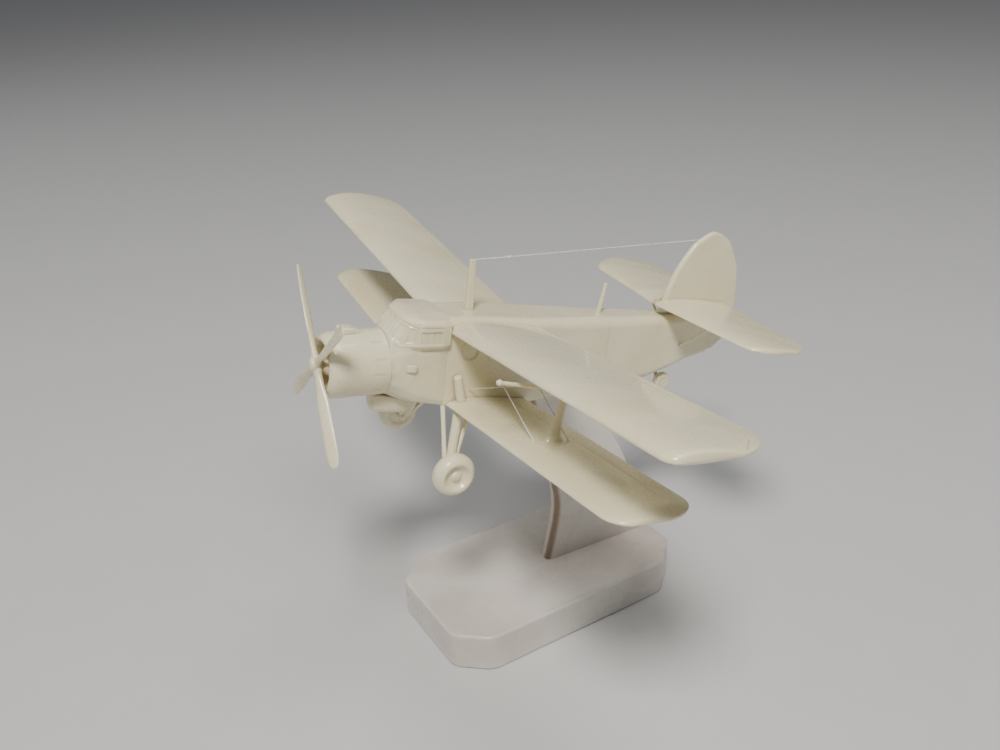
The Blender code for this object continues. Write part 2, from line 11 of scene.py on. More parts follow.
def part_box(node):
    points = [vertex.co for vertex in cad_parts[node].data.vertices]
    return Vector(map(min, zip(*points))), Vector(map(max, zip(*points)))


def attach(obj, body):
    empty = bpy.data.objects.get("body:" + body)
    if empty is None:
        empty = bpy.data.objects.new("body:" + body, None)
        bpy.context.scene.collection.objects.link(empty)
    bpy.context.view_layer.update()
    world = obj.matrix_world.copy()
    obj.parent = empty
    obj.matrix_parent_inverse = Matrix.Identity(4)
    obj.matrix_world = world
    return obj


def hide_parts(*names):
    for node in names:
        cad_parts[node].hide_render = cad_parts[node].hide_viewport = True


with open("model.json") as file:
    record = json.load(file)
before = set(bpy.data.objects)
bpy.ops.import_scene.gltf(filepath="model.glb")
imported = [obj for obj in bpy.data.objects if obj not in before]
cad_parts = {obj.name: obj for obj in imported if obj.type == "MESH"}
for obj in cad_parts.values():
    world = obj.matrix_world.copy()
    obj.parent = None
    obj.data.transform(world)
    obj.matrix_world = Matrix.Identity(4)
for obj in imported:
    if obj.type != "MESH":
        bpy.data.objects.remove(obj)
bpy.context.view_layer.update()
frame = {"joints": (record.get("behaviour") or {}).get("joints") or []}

# Lengths here are in millimetres. The aircraft's own shapes are given in its own axes:
# the origin is the propeller hub, x runs to port, y aft along the thrust line, z up.
MM = 0.001
SIDES = ((1, "port"), (-1, "starboard"))

# Camera, solved from the photograph: where it looks, from where, and its lens
AIM = (24.53, -26.23, 113.53)
AZIMUTH = 63.24
ELEVATION = 27.20
ROLL = -2.22
DISTANCE = 303.57
LENS = 34.83
SENSOR_WIDTH = 36.0

# The aircraft's place comes from the propeller's joint
SPIN = next(joint for joint in frame["joints"] if joint["name"] == "propeller_spin")
HUB = np.array(SPIN["pos_m"]) / MM
AFT = np.array(SPIN["axis"]) / np.linalg.norm(SPIN["axis"])
PORT = np.array((1.0, 0.0, 0.0))
RISE = np.cross(PORT, AFT)

# Sizes shared with the frame's solids
CABIN_FRONT, CABIN_BACK, TAIL_END = 40.2, 127.2, 154.8
CABIN_HALF_WIDTH = 9.6
COWL_RADIUS, COWL_CENTRE_Z, COWL_FRONT, COWL_BACK = 10.7, -0.6, 1.5, 20.9
COWL_BORE, MOUTH_RADIUS, ENGINE_FRONT = 8.1, 7.4, 9.6
SEAM = 0.06
UPPER = {
    "le": 40.3, "z": 10.3, "drop": 1.0, "chord": 32.9, "dihedral": 6.0, "thickness": 0.12,
    "port": {"tip": 123.3, "sweep": (-0.011, 0.007), "front": (4.5, 4.8), "rear": (14.2, 17.0)},
    "starboard": {"tip": 118.3, "sweep": (-0.004, -0.001), "front": (4.5, 12.5), "rear": (14.0, 5.0)},
}
LOWER = {
    "le": 41.4, "z": -15.3, "drop": 1.2, "chord": 29.8, "dihedral": 6.0, "thickness": 0.085,
    "port": {"tip": 105.3, "sweep": (0.006, 0.003), "front": (7.4, 7.3), "rear": (10.3, 16.6)},
    "starboard": {"tip": 102.4, "sweep": (-0.009, 0.0), "front": (7.6, 8.1), "rear": (13.0, 13.0)},
}
TAILPLANE = {
    "le": 127.0, "z": 12.4, "drop": 0.0, "chord": 32.3, "dihedral": 0.0, "thickness": 0.08,
    "port": {"tip": 51.8, "sweep": (0.106, -0.010), "front": (7.7, 12.6), "rear": (11.1, 12.0),
             "drop": 1.4},
    "starboard": {"tip": 51.2, "sweep": (0.088, 0.004), "front": (11.4, 10.7), "rear": (11.5, 7.5)},
}
EDGE_THICKNESS = 0.8
TIP_FULLNESS = 0.4
TIP_CAP = 1.1           # length over which a wing tip closes
FIN_THICKNESS = 2.6
TRACK_HALF, WHEEL_Y = 23.9, 39.4
WHEEL_Z = {"port": -32.2, "starboard": -31.4}
WHEEL_RADIUS, WHEEL_WIDTH = 7.2, 6.2
TAIL_WHEEL_Y, TAIL_WHEEL_Z = 137.8, -19.5
TAIL_WHEEL_RADIUS, TAIL_WHEEL_WIDTH, TAIL_LEG_X = 3.5, 3.4, -2.7
STRUT_X, STRUT_FOOT_Y, STRUT_HEAD_Y = 51.0, 57.0, 60.0
MAST_BASE, MAST_TOP = 15.3, 32.0
BLADE_BACK = 0.15

# Views along one axis of the aircraft, as the two coordinates that they keep
FROM_SIDE, FROM_TOP, FROM_FRONT = (1, 2), (0, 1), (0, 2)

CREAM = (0.80, 0.745, 0.53)
AGED = (0.72, 0.62, 0.37)
# Brown for the small specks, and for the painted shade in recesses and carved lines
SHADE_AND_SPECK_BROWN = (0.33, 0.19, 0.06)
SHADE_REACH = 2.2      # how far the painted shade of a recess reaches into the bone round it
STONE_PALE, STONE_GREY = (0.69, 0.655, 0.60), (0.60, 0.545, 0.50)
STONE_ROSY, STONE_VEIN, STONE_BROWN = (0.66, 0.54, 0.47), (0.78, 0.75, 0.69), (0.20, 0.11, 0.045)
THREAD_LIGHT, THREAD_DARK = (0.82, 0.80, 0.74), (0.60, 0.57, 0.50)
FLOOR_LIGHT, FLOOR_DARK = (0.59, 0.59, 0.58), (0.56, 0.56, 0.56)

# Stand, in the row frame's own axes: the pylon's outlines are (y, z) points
PLINTH_LENGTH, PLINTH_WIDTH, PLINTH_EDGE = 99.6, 56.9, 1.1
CORNER_CUT_X, CORNER_CUT_Y = 9.7, 11.4
PLINTH_TURN = 4.06
PYLON_FRONT = [(2.0, 15.0), (4.3, 24), (6.2, 33), (6.6, 41), (5.2, 50), (2.0, 62), (-1.5, 75), (-3.5, 90)]
PYLON_REAR = [(46.0, 15.0), (43.0, 32), (40.0, 44), (36.5, 53.5), (31.5, 63.5), (24.5, 74.5), (16.0, 87.0)]
PYLON_FOOT, PYLON_HALF, PYLON_NOSE, PYLON_HEEL = 15.02, 3.0, 2.2, 0.8


def camera_axes():
    """Right, up and back directions of the camera, with its roll applied."""
    azimuth, elevation, roll = (math.radians(v) for v in (AZIMUTH, ELEVATION, ROLL))
    back = Vector((math.sin(azimuth) * math.cos(elevation), -math.cos(azimuth) * math.cos(elevation),
                   math.sin(elevation)))
    level = Vector((math.cos(azimuth), math.sin(azimuth), 0.0))
    rise = back.cross(level)
    right = math.cos(roll) * level + math.sin(roll) * rise
    up = -math.sin(roll) * level + math.cos(roll) * rise
    return right, up, back


def add_camera():
    right, up, back = camera_axes()
    data = bpy.data.cameras.new("camera")
    data.lens = LENS
    data.sensor_width = SENSOR_WIDTH
    data.clip_start = 0.01
    data.clip_end = 20.0
    camera = bpy.data.objects.new("camera", data)
    bpy.context.collection.objects.link(camera)
    place = Vector(AIM) * MM + back * DISTANCE * MM
    camera.matrix_world = Matrix.Translation(place) @ Matrix((right, up, back)).transposed().to_4x4()
    bpy.context.scene.camera = camera


# Materials


class Nodes:
    """Short calls for the few shader nodes used here."""

    def __init__(self, name):
        self.material = bpy.data.materials.new(name)
        self.material.use_nodes = True
        self.tree = self.material.node_tree
        self.shader = self.tree.nodes["Principled BSDF"]
        self.place = self.add("ShaderNodeTexCoord").outputs["Object"]

    def add(self, kind, **settings):
        node = self.tree.nodes.new(kind)
        for key, value in settings.items():
            setattr(node, key, value)
        return node

    def link(self, source, target):
        self.tree.links.new(source, target)

    def stretched(self, scale):
        node = self.add("ShaderNodeMapping")
        node.inputs["Scale"].default_value = scale
        self.link(self.place, node.inputs["Vector"])
        return node.outputs["Vector"]

    def noise(self, scale, detail=3.0, stretch=(1, 1, 1), distortion=0.0):
        node = self.add("ShaderNodeTexNoise")
        node.inputs["Scale"].default_value = scale
        node.inputs["Detail"].default_value = detail
        node.inputs["Distortion"].default_value = distortion
        self.link(self.stretched(stretch), node.inputs["Vector"])
        return node.outputs["Fac"]

    def remap(self, value, low, high, to_low=0.0, to_high=1.0):
        node = self.add("ShaderNodeMapRange", interpolation_type="SMOOTHSTEP")
        limits = {"From Min": low, "From Max": high, "To Min": to_low, "To Max": to_high}
        for name, number in limits.items():
            node.inputs[name].default_value = number
        self.link(value, node.inputs["Value"])
        return node.outputs["Result"]

    def math(self, operation, first, second):
        node = self.add("ShaderNodeMath", operation=operation, use_clamp=operation == "ADD")
        for socket, value in zip(node.inputs, (first, second)):
            if isinstance(value, (int, float)):
                socket.default_value = value
            else:
                self.link(value, socket)
        return node.outputs["Value"]

    def mix(self, factor, first, second):
        node = self.add("ShaderNodeMix", data_type="RGBA")
        self.link(factor, node.inputs["Factor"])
        for socket, value in ((node.inputs["A"], first), (node.inputs["B"], second)):
            if isinstance(value, tuple):
                socket.default_value = (*value, 1.0)
            else:
                self.link(value, socket)
        return node.outputs["Result"]

    def bump(self, height, strength, distance):
        node = self.add("ShaderNodeBump")
        node.inputs["Strength"].default_value = strength
        node.inputs["Distance"].default_value = distance
        self.link(height, node.inputs["Height"])
        self.link(node.outputs["Normal"], self.shader.inputs["Normal"])

    def stain_and_shade(self):
        """What the marks carved into the mesh left on it: painted shade along grooves and round sunk
        panels, and the pylon's brown stain.
        """
        return self.add("ShaderNodeAttribute", attribute_name="stain_and_shade").outputs["Fac"]

    def paint(self, colour):
        self.link(colour, self.shader.inputs["Base Color"])

    def polish(self, pattern, gloss):
        """Roughness a little below and above gloss, following a pattern."""
        roughness = self.remap(pattern, 0.3, 0.7, gloss - 0.05, gloss + 0.12)
        self.link(roughness, self.shader.inputs["Roughness"])

    def set(self, **values):
        for key, value in values.items():
            self.shader.inputs[key.replace("_", " ")].default_value = value


def carved(name, body=CREAM, aged=AGED, grain=(60, 9, 60), gloss=0.2):
    """Polished carved bone: cream, faintly clouded and streaked, with small brown specks and painted
    yellow-brown shade in its recesses and carved lines.
    """
    n = Nodes(name)
    clouds = n.remap(n.noise(38, 3), 0.35, 0.75, 0.0, 0.5)
    streaks = n.remap(n.noise(26, 5, grain, 0.4), 0.48, 0.74, 0.0, 0.3)
    colour = n.mix(n.math("ADD", clouds, streaks), body, aged)
    specks = n.remap(n.noise(330, 2), 0.70, 0.80, 0.0, 0.25)
    colour = n.mix(specks, colour, SHADE_AND_SPECK_BROWN)
    # Painted shade: ambient occlusion darkens the bone toward brown in its recesses, and the painted shade
    # of the carved lines adds to it
    occlusion = n.add("ShaderNodeAmbientOcclusion", samples=8)
    occlusion.inputs["Distance"].default_value = SHADE_REACH * MM
    shaded = n.remap(occlusion.outputs["AO"], 0.75, 0.2, 0.0, 0.55)
    n.paint(n.mix(n.math("ADD", shaded, n.stain_and_shade()), colour, SHADE_AND_SPECK_BROWN))
    n.polish(n.noise(75, 4, grain), gloss)
    n.bump(n.noise(160, 6, (1, 0.35, 1)), 0.18, 0.06 * MM)
    n.set(IOR=1.52, Subsurface_Weight=0.2, Subsurface_Scale=1.5 * MM, Subsurface_Radius=(1.0, 0.8, 0.55),
          Coat_Weight=0.3, Coat_Roughness=0.08)
    return n.material


def stone(name):
    """Pale block of the stand: greyer than the aircraft, with soft grey and rosy clouds."""
    n = Nodes(name)
    clouds = n.remap(n.noise(24, 3, (1, 1, 1), 0.6), 0.38, 0.68)
    colour = n.mix(clouds, STONE_PALE, STONE_GREY)
    colour = n.mix(n.remap(n.noise(15, 2), 0.5, 0.8, 0.0, 0.5), colour, STONE_ROSY)
    veins = n.remap(n.noise(120, 6, (1, 0.4, 1.6)), 0.52, 0.8, 0.0, 0.35)
    n.paint(n.mix(n.stain_and_shade(), n.mix(veins, colour, STONE_VEIN), STONE_BROWN))
    n.polish(n.noise(90, 4), 0.26)
    n.bump(n.noise(140, 6), 0.15, 0.06 * MM)
    n.set(IOR=1.5, Subsurface_Weight=0.25, Subsurface_Scale=2.5 * MM, Subsurface_Radius=(1.0, 0.75, 0.6),
          Coat_Weight=0.2, Coat_Roughness=0.12)
    return n.material


def cotton(name):
    """Off-white sewing thread with matte, slightly fuzzy strands."""
    n = Nodes(name)
    n.paint(n.mix(n.remap(n.noise(900, 3), 0.3, 0.7), THREAD_LIGHT, THREAD_DARK))
    n.bump(n.noise(4000, 2), 0.5, 0.05 * MM)
    n.set(Roughness=0.85, Sheen_Weight=0.4, Sheen_Roughness=0.5)
    return n.material


def paper(name):
    """Pale plain floor."""
    n = Nodes(name)
    n.paint(n.mix(n.noise(60, 5), FLOOR_DARK, FLOOR_LIGHT))
    n.set(Roughness=0.8)
    return n.material


# Meshes


def aircraft_matrix():
    """From the aircraft's millimetres to the row frame's metres."""
    turn = Matrix([list(row) for row in np.array((PORT, AFT, RISE)).T]).to_4x4()
    return Matrix.Translation(Vector(HUB) * MM) @ turn @ Matrix.Scale(MM, 4)


def world_matrix():
    return Matrix.Scale(MM, 4)


def skin_faces(points):
    """Vertices and faces over rows of rings, each end closed on a middle point."""
    rows, cols = points.shape[:2]
    index = np.arange(rows * cols).reshape(rows, cols)
    ahead = np.roll(index, -1, axis=1)
    quads = np.stack((index[:-1], ahead[:-1], ahead[1:], index[1:]), axis=-1).reshape(-1, 4).tolist()
    first, last = rows * cols, rows * cols + 1
    caps = [(first, b, a) for a, b in zip(index[0].tolist(), ahead[0].tolist())]
    caps += [(last, a, b) for a, b in zip(index[-1].tolist(), ahead[-1].tolist())]
    verts = np.vstack((points.reshape(-1, 3), points[0].mean(axis=0), points[-1].mean(axis=0)))
    return verts, quads + caps


def press(mesh, marks):
    """Carve marks into a mesh along its normals, and keep where they stain it or paint shade on it."""
    count = len(mesh.vertices)
    stain_and_shade = np.zeros(count)
    for mark in marks:
        co = np.zeros(count * 3)
        mesh.vertices.foreach_get("co", co)
        co = co.reshape(-1, 3)
        normals = np.zeros(count * 3, np.float32)
        mesh.vertex_normals.foreach_get("vector", normals)
        normals = normals.reshape(-1, 3)
        depth, tint = mark(co, normals)
        mesh.vertices.foreach_set("co", (co - normals * depth[:, None]).ravel())
        mesh.update()
        stain_and_shade = np.maximum(stain_and_shade, tint)
    attribute = mesh.attributes.new("stain_and_shade", "FLOAT", "POINT")
    attribute.data.foreach_set("value", stain_and_shade.astype(np.float32))


def add_skin(name, points, slot, replaces, body="airframe", marks=(), place=None):
    """One piece from rows of rings, carved, put in place and set to ride on its body."""
    verts, faces = skin_faces(np.asarray(points, float))
    mesh = bpy.data.meshes.new(name)
    mesh.from_pydata(verts.tolist(), [], faces)
    bm = bmesh.new()
    bm.from_mesh(mesh)
    bmesh.ops.remove_doubles(bm, verts=bm.verts, dist=0.002)
    bmesh.ops.recalc_face_normals(bm, faces=bm.faces)
    bm.to_mesh(mesh)
    bm.free()
    press(mesh, marks)
    mesh.transform(place or AIRCRAFT)
    mesh.shade_smooth()
    mesh.set_sharp_from_angle(angle=math.radians(55))
    mesh.materials.append(FINISHES[slot])
    piece = bpy.data.objects.new(name, mesh)
    bpy.context.collection.objects.link(piece)
    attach(piece, body)
    if replaces:
        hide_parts(*replaces)
    return piece


# Marks: each returns a function of points and normals that gives depth and stain; for grooves and sunk
# panels that stain is painted shade


def line_distance(plane, line):
    """Distance of flat points from a line of points."""
    best = np.full(len(plane), 1e9)
    for start, end in zip(line, line[1:]):
        start, run = np.array(start, float), np.subtract(end, start, dtype=float)
        share = np.clip((plane - start) @ run / (run @ run), 0, 1)
        best = np.minimum(best, np.linalg.norm(plane - start - share[:, None] * run, axis=1))
    return best


def inside(plane, outline):
    """Which flat points lie inside an outline."""
    hits = np.zeros(len(plane), bool)
    for (ax, ay), (bx, by) in zip(outline, outline[1:] + outline[:1]):
        crosses = (ay > plane[:, 1]) != (by > plane[:, 1])
        with np.errstate(divide="ignore", invalid="ignore"):
            reach = (bx - ax) * (plane[:, 1] - ay) / (by - ay) + ax
        hits ^= crosses & (plane[:, 0] < reach)
    return hits


def facing(normals, direction):
    """1 where the surface looks the given way, fading to 0 at its edge."""
    return np.clip((normals @ np.array(direction, float) - 0.15) / 0.25, 0, 1)


def groove(view, line, direction, depth=0.12, width=0.2, stain_and_shade=0.3):
    """A fine cut along a line of points, darkened along it with painted shade."""
    def mark(co, normals):
        near = np.exp(-(line_distance(co[:, view], line) / width) ** 2) * facing(normals, direction)
        return depth * near, stain_and_shade * near
    return mark


def panel(view, outline, direction, depth=0.25, soft=0.25, stain_and_shade=0.1):
    """A sunk or, with a negative depth, a raised area with soft edges, its rim darkened with painted
    shade.
    """
    def mark(co, normals):
        plane = co[:, view]
        reach = line_distance(plane, outline + outline[:1])
        share = np.clip(0.5 + np.where(inside(plane, outline), reach, -reach) / soft, 0, 1)
        share = share * share * (3 - 2 * share) * facing(normals, direction)
        rim = np.exp(-(reach / soft) ** 2) * facing(normals, direction)
        return depth * share, stain_and_shade * rim
    return mark


def hand_cut(amount=0.05, span=11.0, phase=0.0):
    """The slow unevenness of a surface that was filed and polished by hand."""
    def mark(co, normals):
        a, b, c = (co / span).T
        wave = np.sin(a * 2.1 + b * 1.3 + phase) * np.sin(b * 1.7 - c * 1.9 + 2 * phase)
        wave += 0.6 * np.sin(a * 3.7 - b * 2.9 + c * 3.1 + 3 * phase)
        return amount * wave, np.zeros(len(co))
    return mark


def smooth_line(points, count, closed=False):
    """Points evenly spaced on a smooth curve through the given ones."""
    points = np.array(points, float)
    before = np.roll(points, 1, axis=0)
    after = np.roll(points, -1, axis=0)
    if not closed:
        before[0] = 2 * points[0] - points[1]
        after[-1] = 2 * points[-1] - points[-2]
    slopes = (after - before) / 2
    spans = len(points) if closed else len(points) - 1
    fine = []
    for i in range(spans):
        j = (i + 1) % len(points)
        for t in np.linspace(0, 1, 24, endpoint=False):
            fine.append((2 * t ** 3 - 3 * t ** 2 + 1) * points[i] + (t ** 3 - 2 * t ** 2 + t) * slopes[i]
                        + (3 * t ** 2 - 2 * t ** 3) * points[j] + (t ** 3 - t ** 2) * slopes[j])
    fine.append(points[0] if closed else points[-1])
    return evenly(np.array(fine), count, closed)


def evenly(line, count, closed=False):
    """A line resampled to points that are equally far apart along it."""
    steps = np.linalg.norm(np.diff(line, axis=0), axis=1)
    along = np.concatenate(([0], np.cumsum(steps)))
    wanted = np.linspace(0, along[-1], count, endpoint=not closed)
    return np.stack([np.interp(wanted, along, column) for column in line.T], axis=1)


# Hull sections


def box_ring(half_width, top, bottom, top_round, bottom_round, count, steps=14):
    """Rounded box section as (x, z) pairs, evenly spaced, starting at mid height to port."""
    corners = ((half_width - top_round, top - top_round, top_round, 0),
               (-half_width + top_round, top - top_round, top_round, 90),
               (-half_width + bottom_round, bottom + bottom_round, bottom_round, 180),
               (half_width - bottom_round, bottom + bottom_round, bottom_round, 270))
    ring = [(half_width, (top + bottom) / 2)]
    for x, z, radius, start in corners:
        for step in range(steps + 1):
            angle = math.radians(start + 90 * step / steps)
            ring.append((x + radius * math.cos(angle), z + radius * math.sin(angle)))
    ring.append(ring[0])
    return evenly(np.array(ring), count, closed=True)


def hull(stations, pitch, count, edge=0.35):
    """Rings along the aircraft through box sections, with softly rounded ends."""
    table = np.array(stations, float)
    front, back = table[0, 0], table[-1, 0]
    turns = np.radians(np.linspace(0, 90, 6))
    rows = [(front + edge * (1 - math.cos(t)), edge * (1 - math.sin(t))) for t in turns]
    rows += [(y, 0.0) for y in np.arange(front + edge + pitch, back - edge, pitch)]
    rows += [(back - edge * (1 - math.cos(t)), edge * (1 - math.sin(t))) for t in turns[::-1]]
    rings = []
    for y, inset in rows:
        half_width, top, bottom, *rounds = (np.interp(y, table[:, 0], column) for column in table.T[1:])
        top_round, bottom_round = (max(radius - inset, 0.1) for radius in rounds)
        flat = box_ring(half_width - inset, top - inset, bottom + inset, top_round, bottom_round, count)
        rings.append([(x, y, z) for x, z in flat])
    return np.array(rings)


def lathe(profile, steps, axis, centre=(0, 0, 0)):
    """Rings of a turned shape: (radius, along) profile about X or Y, kept off the axis."""
    angles = np.linspace(0, 2 * math.pi, steps, endpoint=False)
    rings = []
    for radius, along in profile:
        around = (np.cos(angles) * radius, np.sin(angles) * radius)
        level = np.full(steps, along)
        parts = (level, around[0], around[1]) if axis == "X" else (around[0], level, around[1])
        rings.append(np.stack(parts, axis=1))
    return np.array(rings) + np.array(centre)


def stick(start, end, radii, flat=1.0, count=28, rows=40):
    """Rings of a round or flattened rod whose radius follows a few values along it."""
    start, end = np.array(start, float), np.array(end, float)
    length = np.linalg.norm(end - start)
    way = (end - start) / length
    side = np.cross(way, (1.0, 0.0, 0.0) if abs(way[0]) < 0.8 else (0.0, 1.0, 0.0))
    side /= np.linalg.norm(side)
    other = np.cross(way, side)
    angles = np.linspace(0, 2 * math.pi, count, endpoint=False)[:, None]
    shares = (1 - np.cos(np.linspace(0, math.pi, rows))) / 2
    places = np.linspace(0, 1, len(radii))
    rings = []
    for share in shares:
        radius = np.interp(share, places, radii)
        to_end = min(share, 1 - share) * length
        if to_end < radius * 0.5:
            radius *= math.sqrt(max(0.0, 1 - (1 - to_end / (radius * 0.5)) ** 2)) * 0.5 + 0.5
        around = np.cos(angles) * side * flat + np.sin(angles) * other
        rings.append(start + share * (end - start) + radius * around)
    return np.array(rings)


# Wings


def corner_inset(x, tip, corner):
    reach, depth = corner
    over = (x - (tip - reach)) / reach
    return 0.0 if over <= 0 else depth * (1 - math.sqrt(max(0.0, 1 - over ** 2)))


def half_wing(wing, word):
    """A wing's shared values together with those of one side."""
    return {**wing, **wing[word]}


def wing_edges(wing, x):
    lead, trail = wing["sweep"]
    front = wing["le"] + lead * x + corner_inset(x, wing["tip"], wing["front"])
    rear = wing["le"] + wing["chord"] + trail * x - corner_inset(x, wing["tip"], wing["rear"])
    return front, rear


def wing_skin(wing, x, y):
    """Height of the upper and lower skin at a point of a wing."""
    front, rear = wing_edges(wing, x)
    chord = rear - front
    share = min(max((y - front) / chord, 0.0), 1.0)
    fullness = (chord / wing["chord"]) ** TIP_FULLNESS
    shape = (0.2969 * math.sqrt(share) - 0.126 * share - 0.3516 * share ** 2
             + 0.2843 * share ** 3 - 0.1036 * share ** 4)
    half = 5 * wing["thickness"] * wing["chord"] * fullness * shape
    edge = EDGE_THICKNESS / 2 * share
    to_rear = rear - y
    if to_rear < EDGE_THICKNESS / 2:
        edge *= math.sqrt(max(0.0, 1 - (1 - to_rear / (EDGE_THICKNESS / 2)) ** 2))
    closing = (x - (wing["tip"] - TIP_CAP)) / TIP_CAP
    close = math.sqrt(max(0.0, 1 - closing ** 2)) if closing > 0 else 1.0
    line = wing["z"] + x * math.tan(math.radians(wing["dihedral"]))
    line -= wing["drop"] * (y - wing["le"]) / wing["chord"]
    middle = line + 0.5 * half
    return middle + (half + edge) * close, middle - (half + edge) * close


def wing_rings(wing, root, side, pitch=1.1):
    """Rings of a half wing, dense at its edges, its aft part spaced from the trailing edge."""
    tip = wing["tip"]
    reach = max(wing["front"][0], wing["rear"][0])
    bend = tip - reach
    stations = list(np.arange(root, bend, pitch))
    stations += [bend + reach * math.sin(math.radians(a)) for a in np.linspace(0, 78, 46)]
    turn, steps = math.pi * 0.62, 34
    fore = [(1 - math.cos(turn * s / steps)) / (1 - math.cos(turn)) for s in range(steps)]
    rings = []
    for x in stations:
        front, rear = wing_edges(wing, x)
        aft = min(6.0, (rear - front) * 0.4)
        ys = [front + f * (rear - aft - front) for f in fore]
        ys += [rear - aft * (1 - s / 28) for s in range(25)]
        ys += [rear - aft * 0.107 * (1 - math.sin(math.radians(a))) for a in (0, 22, 45, 62, 78, 90)][1:]
        pairs = [wing_skin(wing, x, y) for y in ys]
        upper = [(side * x, y, high) for y, (high, low) in zip(ys, pairs)]
        lower = [(side * x, y, low) for y, (high, low) in zip(ys, pairs)]
        rings.append(upper[::-1] + lower[1:-1])
    return np.array(rings)


def build_wings():
    root = CABIN_HALF_WIDTH + SEAM
    for side, word in SIDES:
        flap = [(side * x, y) for x, y in ((root, 69.4), (110.5, 69.4), (117.0, 67.3), (121.8, 62.5))]
        split = [(side * 64.0, 70.6), (side * 64.0, 73.2)]
        marks = [hand_cut(0.05, 14, side), groove(FROM_TOP, flap, (0, 0, 1)),
                 groove(FROM_TOP, split, (0, 0, 1), 0.08)]
        add_skin(f"upper_wing_skin_{word}", wing_rings(half_wing(UPPER, word), root, side),
                 "flying_surfaces", [f"upper_wing_{word}"], marks=marks)
        flap = [(side * root, 64.6), (side * 92.0, 64.6)]
        marks = [hand_cut(0.05, 13, side + 2), groove(FROM_TOP, flap, (0, 0, 1), 0.15, 0.3)]
        add_skin(f"lower_wing_skin_{word}", wing_rings(half_wing(LOWER, word), root, side),
                 "flying_surfaces", [f"lower_wing_{word}"], marks=marks)
        build_wing_strut(word, side)


def build_wing_strut(word, side):
    """Slim post that flares into a foot on each wing."""
    # Share of its height, half length along the wing's chord and half width
    shape = np.array(((0.0, 3.5, 1.9), (0.03, 2.9, 1.65), (0.08, 2.1, 1.3), (0.16, 1.65, 1.12),
                      (0.3, 1.42, 1.05), (0.7, 1.38, 1.0), (0.86, 1.65, 1.12), (0.94, 2.3, 1.4),
                      (1.0, 3.4, 1.9)))
    lower, upper = half_wing(LOWER, word), half_wing(UPPER, word)
    rings = []
    for share in (1 - np.cos(np.linspace(0, math.pi, 60))) / 2:
        half_y, half_x = (np.interp(share, shape[:, 0], shape[:, i]) for i in (1, 2))
        ring = []
        for angle in np.linspace(0, 2 * math.pi, 40, endpoint=False):
            x = STRUT_X + half_x * math.cos(angle)
            y = STRUT_FOOT_Y + (STRUT_HEAD_Y - STRUT_FOOT_Y) * share + half_y * math.sin(angle)
            low = wing_skin(lower, x, y)[0] - 0.05
            high = wing_skin(upper, x, y)[1] + 0.05
            ring.append((side * x, y, low + (high - low) * share))
        rings.append(ring)
    add_skin(f"wing_strut_post_{word}", rings, "fittings", [f"wing_strut_{word}"],
             marks=[hand_cut(0.06, 5, side)])


def build_tail():
    for side, word in SIDES:
        half = half_wing(TAILPLANE, word)
        add_skin(f"tailplane_skin_{word}", wing_rings(half, FIN_THICKNESS / 2 - 0.1, side, 0.8),
                 "flying_surfaces", [f"tailplane_{word}"], marks=[hand_cut(0.05, 9, side)])
        head = wing_skin(half, 22.0, 140.0)[1] + 0.3
        brace = stick((side * 4.2, 140.0, -3.6), (side * 22.0, 140.0, head), (0.6, 0.5, 0.6))
        add_skin(f"tailplane_brace_{word}", brace, "fittings", [f"tailplane_strut_{word}"],
                 marks=[hand_cut(0.03, 4)])
    build_fin()


def build_fin():
    """Fin and rudder: a thin plate with full rounded edges and a nick near its head."""
    outline = [(129.9, 9.0), (134.3, 23.6), (140.2, 33.4), (144.0, 36.6), (149.8, 39.1), (156.7, 36.0),
               (160.6, 30.6), (163.8, 24.2), (166.3, 11.6), (165.6, 4.0), (163.6, -3.1), (158.6, -7.8)]
    foot = evenly(np.array(((158.6, -7.8), (155.4, -8.2), (155.4, 7.8), (129.5, 9.0))), 90)
    edge = np.vstack((smooth_line(outline, 250), foot[1:-1]))
    centre = np.array((157.0, 12.0))
    half = FIN_THICKNESS / 2
    inward = centre - edge
    inward /= np.linalg.norm(inward, axis=1)[:, None]
    face = [(centre + (edge + inward * half - centre) * share, half)
            for share in np.linspace(0.03, 1.0, 46)]
    rounded = [(edge + inward * half * (1 - math.cos(angle)), half * math.sin(angle))
               for angle in np.radians(np.linspace(-90, 90, 17))[1:-1]]
    rows = [(line, -x) for line, x in face] + rounded + face[::-1]
    rings = [np.column_stack((np.full(len(line), x), line)) for line, x in rows]
    nick = [(160.6, 31.6), (157.4, 30.9)]
    marks = [hand_cut(0.05, 9, 1.5), groove(FROM_SIDE, nick, (1, 0, 0), 0.1, 0.15)]
    add_skin("fin_skin", rings, "flying_surfaces", ["fin_and_rudder"], marks=marks)


# Fuselage


